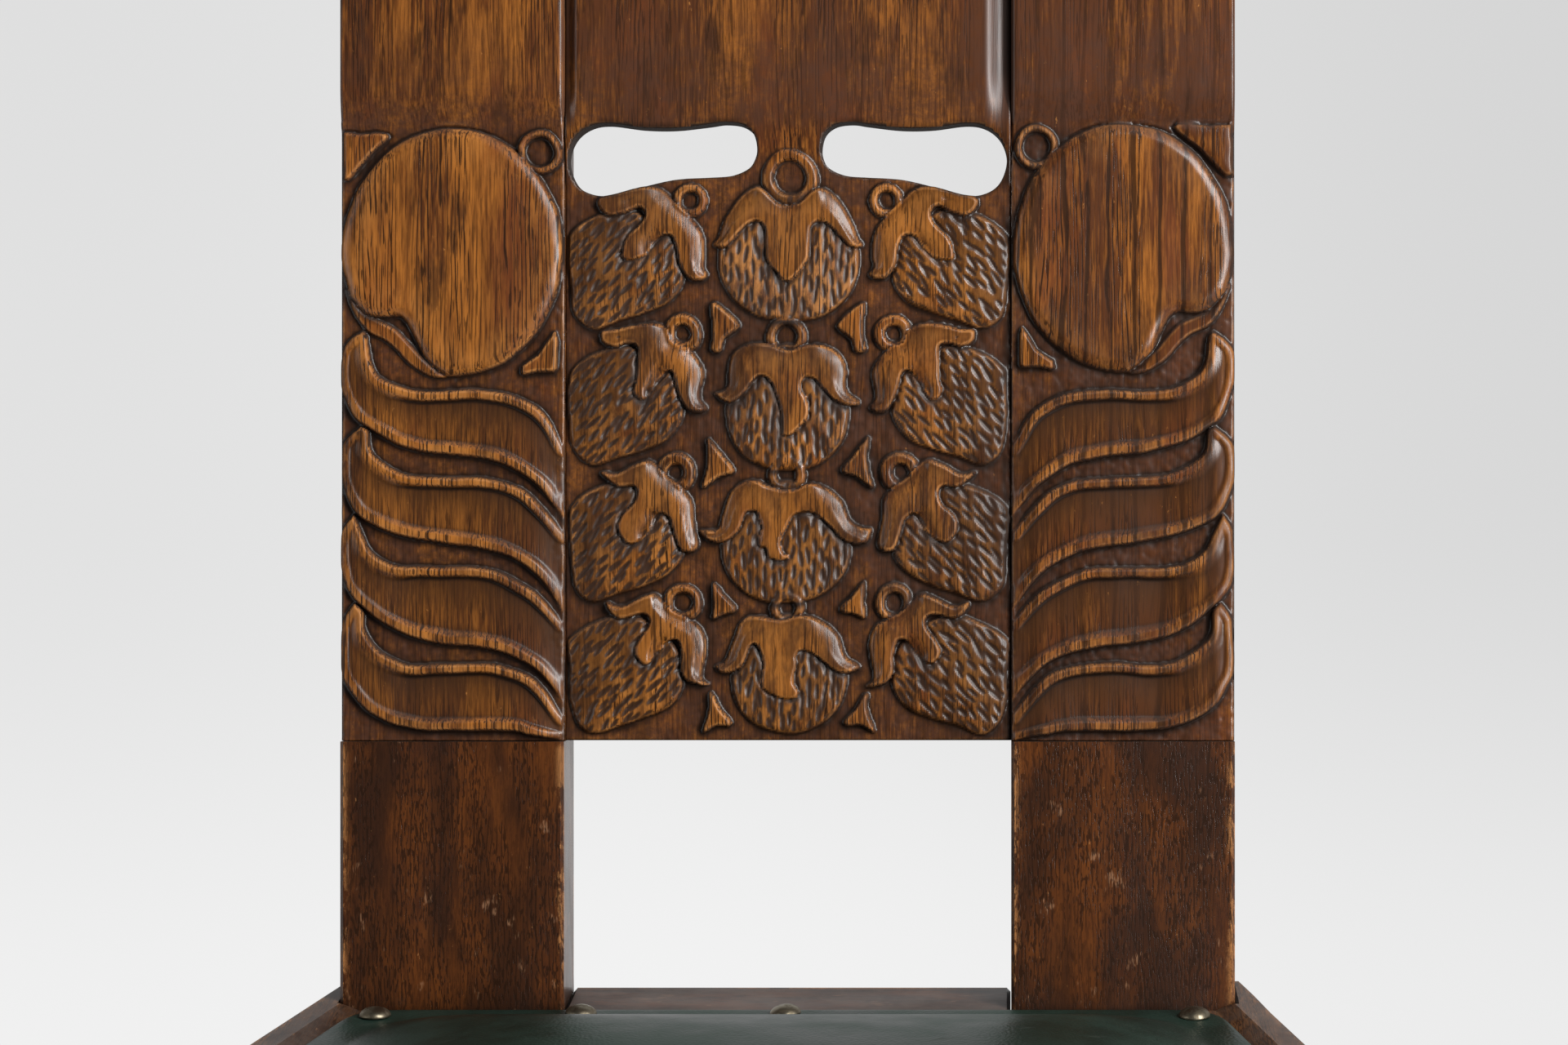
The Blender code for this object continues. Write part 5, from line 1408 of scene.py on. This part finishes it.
class CHAIR_OT_stuffing(bpy.types.Operator):
    """Fill the seat under the leather"""

    bl_idname = "chair.stuffing"
    bl_label = "Stuffing"

    def execute(self, context):
        low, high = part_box("seat_pad")
        foot = plan_hull("seat_pad")
        centre = foot.mean(axis=0)
        loop = even_loop(centre + (foot - centre) * 0.985, 96)
        edge = RAIL_TOP - 0.0005
        rise = high.z - RAIL_TOP - 0.0012
        levels = [(1.0, low.z), (1.0, edge)]
        levels += [(s, edge + rise * (1 - s**CROWN_POWER)) for s in (0.97, 0.9, 0.8, 0.65, 0.45, 0.2)]
        shape = bmesh.new()
        rings = [shrunk_ring(shape, loop, centre, share, z) for share, z in levels]
        add_walls(shape, rings)
        shape.faces.new(rings[0])
        shape.faces.new(rings[-1])
        bmesh.ops.recalc_face_normals(shape, faces=shape.faces)
        mesh = finished_mesh(shape, "seat_stuffing")
        mesh.shade_smooth()
        finish = kept_finish("stuffing_finish", fibre_finish, (0.20, 0.15, 0.11))
        stuffing = add_piece("seat_stuffing", mesh, finish, ["seat_pad"])
        return {"FINISHED"}


class CHAIR_OT_base_cloth(bpy.types.Operator):
    """Lay the hessian over the webbing"""

    bl_idname = "chair.base_cloth"
    bl_label = "Hessian"

    def execute(self, context):
        low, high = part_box("base_cloth")
        loop = plan_hull("base_cloth")
        centre = loop.mean(axis=0)
        rim = even_loop(centre + (loop - centre) * 0.998, 120)
        shape = bmesh.new()
        rings = [shrunk_ring(shape, rim, centre, share, high.z) for share in (1.0, 0.9, 0.75, 0.55)]
        add_walls(shape, rings)
        fill_ring(shape, rings[-1])
        bmesh.ops.recalc_face_normals(shape, faces=shape.faces)
        flat_area = sum(face.calc_area() for face in shape.faces)
        carrier = linked("hessian_carrier", finished_mesh(shape, "seat_hessian"))
        thicken(carrier, HESSIAN_THICKNESS)
        mesh = evaluated_mesh(carrier, "seat_hessian")
        finish = kept_finish("hessian_finish", woven_finish, context.scene.chair_finish.jute, 900.0)
        cloth = add_piece("seat_hessian", mesh, finish, ["base_cloth"])
        return {"FINISHED"}


class CHAIR_OT_webbing(bpy.types.Operator):
    """Weave the webbing straps"""

    bl_idname = "chair.webbing"
    bl_label = "Webbing"

    def execute(self, context):
        for node, solid in list(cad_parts.items()):
            if "_strap_" not in node:
                continue
            shape = bmesh.new()
            shape.from_mesh(solid.data)
            bmesh.ops.remove_doubles(shape, verts=shape.verts, dist=0.00001)
            label, turn = ("across", 0.0) if node.startswith("cross") else ("along", math.pi / 2)
            finish = kept_finish(
                f"webbing_{label}", woven_finish, context.scene.chair_finish.jute, 620.0, turn
            )
            name = f"webbing_{node}"
            add_piece(name, finished_mesh(shape, name), finish, [node])
        return {"FINISHED"}


def nail_tree():
    """Geometry Nodes that stand a dome-headed nail on every point."""
    tree = bpy.data.node_groups.new("seat_nails", "GeometryNodeTree")
    tree.interface.new_socket("Points", in_out="INPUT", socket_type="NodeSocketGeometry")
    sizes = {"Head radius": 0.007, "Dome": 0.0042, "Shank radius": 0.001, "Shank length": 0.012}
    sockets = {}
    for label, default in sizes.items():
        socket = tree.interface.new_socket(label, in_out="INPUT", socket_type="NodeSocketFloat")
        socket.default_value = default
        sockets[label] = socket.identifier
    material = tree.interface.new_socket("Finish", in_out="INPUT", socket_type="NodeSocketMaterial")
    sockets["Finish"] = material.identifier
    tree.interface.new_socket("Nails", in_out="OUTPUT", socket_type="NodeSocketGeometry")
    sketch = NodeSketch(tree)
    given = sketch.add("NodeGroupInput").outputs
    ball = sketch.add("GeometryNodeMeshUVSphere", {"Segments": 28, "Rings": 18, "Radius": 1.0}).outputs[0]
    spot = sketch.add("GeometryNodeInputPosition").outputs[0]
    x, y, z = sketch.axes(spot)[:3]
    dents = sketch.add("ShaderNodeTexNoise", {"Vector": spot, "Scale": 1.7}).outputs[0]
    dents = sketch.times(sketch.minus(dents, 0.5), 0.16)
    dented = sketch.larger(sketch.plus(sketch.larger(z, -0.06), dents), -0.02)
    radius = given["Head radius"]
    moved = {0: sketch.times(x, radius), 1: sketch.times(y, radius), 2: sketch.times(dented, given["Dome"])}
    place = sketch.add("ShaderNodeCombineXYZ", moved).outputs[0]
    head = sketch.add("GeometryNodeSetPosition", {"Geometry": ball, "Position": place}).outputs[0]
    length = given["Shank length"]
    cone = {"Vertices": 10, "Radius Top": given["Shank radius"], "Radius Bottom": 0.0003, "Depth": length}
    shank = sketch.add("GeometryNodeMeshCone", cone).outputs[0]
    drop = sketch.add("ShaderNodeCombineXYZ", {2: sketch.times(length, -1.0)}).outputs[0]
    shank = sketch.add("GeometryNodeTransform", {"Geometry": shank, "Translation": drop}).outputs[0]
    joined = sketch.add("GeometryNodeJoinGeometry")
    for part in (head, shank):
        tree.links.new(part, joined.inputs[0])
    turn = sketch.add(
        "FunctionNodeRandomValue", {"Min": (-0.06, -0.06, 0.0), "Max": (0.06, 0.06, 6.28), "Seed": 4},
        data_type="FLOAT_VECTOR",
    ).outputs[0]
    stand = {"Points": given["Points"], "Instance": joined.outputs[0], "Rotation": turn}
    placed = sketch.add("GeometryNodeInstanceOnPoints", stand).outputs[0]
    real = sketch.add("GeometryNodeRealizeInstances", {0: placed}).outputs[0]
    smooth = sketch.add("GeometryNodeSetShadeSmooth", {"Geometry": real}).outputs[0]
    finish = {"Geometry": smooth, "Material": given["Finish"]}
    sketch.add("NodeGroupOutput", {0: sketch.add("GeometryNodeSetMaterial", finish).outputs[0]})
    return tree, sockets


class CHAIR_OT_seat_nails(bpy.types.Operator):
    """Drive the dome nails round the leather"""

    bl_idname = "chair.seat_nails"
    bl_label = "Seat nails"

    def execute(self, context):
        settings = context.scene.chair_nails
        finish = kept_finish(
            "aged_brass_finish", metal_finish, context.scene.chair_finish.brass, (0.15, 0.125, 0.085), 0.44
        )
        spots = nail_spots()
        spots[:, 2] -= settings.dome
        points = bpy.data.meshes.new("nail_points")
        points.from_pydata(spots.tolist(), [], [])
        carrier = linked("nail_carrier", points)
        tree, sockets = nail_tree()
        nails = carrier.modifiers.new("nails", "NODES")
        nails.node_group = tree
        nails[sockets["Head radius"]] = settings.radius
        nails[sockets["Dome"]] = settings.dome
        nails[sockets["Finish"]] = finish
        mesh = evaluated_mesh(carrier, "brass_nails")
        nodes = [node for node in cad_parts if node.startswith("seat_nail")]
        add_piece("brass_nails", mesh, finish, nodes)
        return {"FINISHED"}


def soft_light(name, place, target, size, power):
    """A rectangular softbox that looks at a target."""
    lamp = bpy.data.lights.new(name, "AREA")
    lamp.shape = "RECTANGLE"
    lamp.size, lamp.size_y = size
    lamp.energy = power
    light = linked(name, lamp)
    light.location = place
    light.rotation_euler = (Vector(target) - Vector(place)).to_track_quat("-Z", "Y").to_euler()


def grey(level):
    return (level, level, level)


class CHAIR_OT_stage(bpy.types.Operator):
    """Set up the floor, the light and the camera"""

    bl_idname = "chair.stage"
    bl_label = "Studio"

    def execute(self, context):
        scene = context.scene
        settings = scene.chair_stage
        scene.view_settings.view_transform = "Standard"
        self.make_camera(scene)
        self.make_world(scene, settings)
        self.make_floor()
        middle = BACK @ Vector((0, 0, 0.25))
        soft_light("key_softbox", (1.25, -1.15, 1.95), middle, (1.0, 0.6), settings.key)
        soft_light("left_softbox", (-1.85, -0.8, 1.0), middle, (0.6, 1.5), 0.55 * settings.side)
        soft_light("right_softbox", (1.45, -1.2, 1.0), middle, (0.17, 0.9), 2.9 * settings.side)
        return {"FINISHED"}

    def make_camera(self, scene):
        """The photograph's view: square on to the raked back, from a little to its right."""
        camera = bpy.data.cameras.new("camera")
        camera.sensor_width = 36.0
        camera.lens = 84.8
        camera.shift_x = -0.1449
        camera.clip_start = 0.05
        eye = linked("camera", camera)
        eye.location = BACK @ Vector((0.100, -1.65, 0.218))
        eye.rotation_euler = (math.pi / 2 - BACK_RAKE, 0, 0)
        scene.camera = eye

    def make_world(self, scene, settings):
        """Even light and a pale backdrop, which reflections show too, with a dim room in front."""
        world = bpy.data.worlds.new("studio")
        world.use_nodes = True
        scene.world = world
        sketch = NodeSketch(world.node_tree)
        direction = sketch.add("ShaderNodeTexCoord").outputs["Generated"]
        right, front, height = sketch.axes(direction)[:3]
        backdrop = sketch.mix(sketch.rise(height, -0.27, -0.12), grey(0.89), grey(0.79))
        backdrop = sketch.mix(sketch.rise(height, -0.13, 0.03), backdrop, grey(0.768))
        fall = sketch.rise(right, -0.10, 0.16, 0.0, 0.13)
        fall = sketch.plus(fall, sketch.rise(right, -0.12, -0.25, 0.0, 0.04))
        fall = sketch.times(fall, sketch.rise(height, -0.27, -0.10, 0.45, 1.0))
        backdrop = sketch.mix(fall, backdrop, grey(0.0))
        toward = sketch.rise(sketch.minus(height, front), -0.15, 0.55)
        mirrored_room = sketch.mix(toward, backdrop, (0.06, 0.06, 0.063))
        path = sketch.add("ShaderNodeLightPath").outputs
        shine_path = sketch.larger(path["Is Glossy Ray"], path["Is Transmission Ray"])
        colour = sketch.mix(shine_path, grey(settings.sky), mirrored_room)
        colour = sketch.mix(path["Is Camera Ray"], colour, backdrop)
        sketch.fill(world.node_tree.nodes["Background"], {"Color": colour})

    def make_floor(self):
        """A round pale floor that fades into the backdrop."""
        shape = bmesh.new()
        bmesh.ops.create_circle(shape, cap_ends=True, segments=96, radius=3.2)
        mesh = finished_mesh(shape, "studio_floor")
        floor = linked("studio_floor", mesh)
        material, sketch, shader, place = new_finish("studio_floor_finish")
        away = sketch.add("ShaderNodeVectorMath", {0: place}, operation="LENGTH").outputs["Value"]
        fade = sketch.rise(away, 0.55, 1.25)
        sketch.fill(shader, {"Base Color": (*grey(0.66), 1), "Roughness": 0.9})
        clear = sketch.add("ShaderNodeBsdfTransparent").outputs[0]
        mixed = sketch.add("ShaderNodeMixShader", {0: fade, 1: shader.outputs[0], 2: clear}).outputs[0]
        sketch.fill(material.node_tree.nodes["Material Output"], {"Surface": mixed})
        dress(mesh, material)


class CHAIR_PT_tools(bpy.types.Panel):
    """Pieces of the chair"""

    bl_idname = "CHAIR_PT_tools"
    bl_label = "Carved oak chair"
    bl_space_type = "VIEW_3D"
    bl_region_type = "UI"
    bl_category = "Chair"

    def draw(self, context):
        for settings, names in (
            (context.scene.chair_carving, ("ground", "cut_depth", "stile_pitch", "panel_pitch")),
            (context.scene.chair_finish, ("honey", "brown", "ground", "worn", "leather", "brass", "jute")),
            (context.scene.chair_nails, ("radius", "dome")),
            (context.scene.chair_stage, ("key", "side", "sky")),
        ):
            box = self.layout.box()
            for name in names:
                box.prop(settings, name)
        for step in STEPS:
            self.layout.operator(step.bl_idname)


SETTINGS = (
    ("chair_carving", ChairCarvingSettings), ("chair_finish", ChairFinishSettings),
    ("chair_nails", ChairNailSettings), ("chair_stage", ChairStageSettings),
)
STEPS = (
    CHAIR_OT_stage, CHAIR_OT_carved_stiles, CHAIR_OT_carved_panel, CHAIR_OT_oak_frame, CHAIR_OT_webbing,
    CHAIR_OT_base_cloth, CHAIR_OT_stuffing, CHAIR_OT_seat_cover, CHAIR_OT_seat_nails,
)


def register():
    for name, settings in SETTINGS:
        bpy.utils.register_class(settings)
        setattr(bpy.types.Scene, name, bpy.props.PointerProperty(type=settings))
    for step in STEPS:
        bpy.utils.register_class(step)
    bpy.utils.register_class(CHAIR_PT_tools)


def unregister():
    bpy.utils.unregister_class(CHAIR_PT_tools)
    for step in reversed(STEPS):
        bpy.utils.unregister_class(step)
    for name, settings in reversed(SETTINGS):
        delattr(bpy.types.Scene, name)
        bpy.utils.unregister_class(settings)


def main():
    register()
    bpy.ops.chair.stage()
    bpy.ops.chair.carved_stiles()
    bpy.ops.chair.carved_panel()
    bpy.ops.chair.oak_frame()
    bpy.ops.chair.webbing()
    bpy.ops.chair.base_cloth()
    bpy.ops.chair.stuffing()
    bpy.ops.chair.seat_cover()
    bpy.ops.chair.seat_nails()


if __name__ == "__main__":
    main()
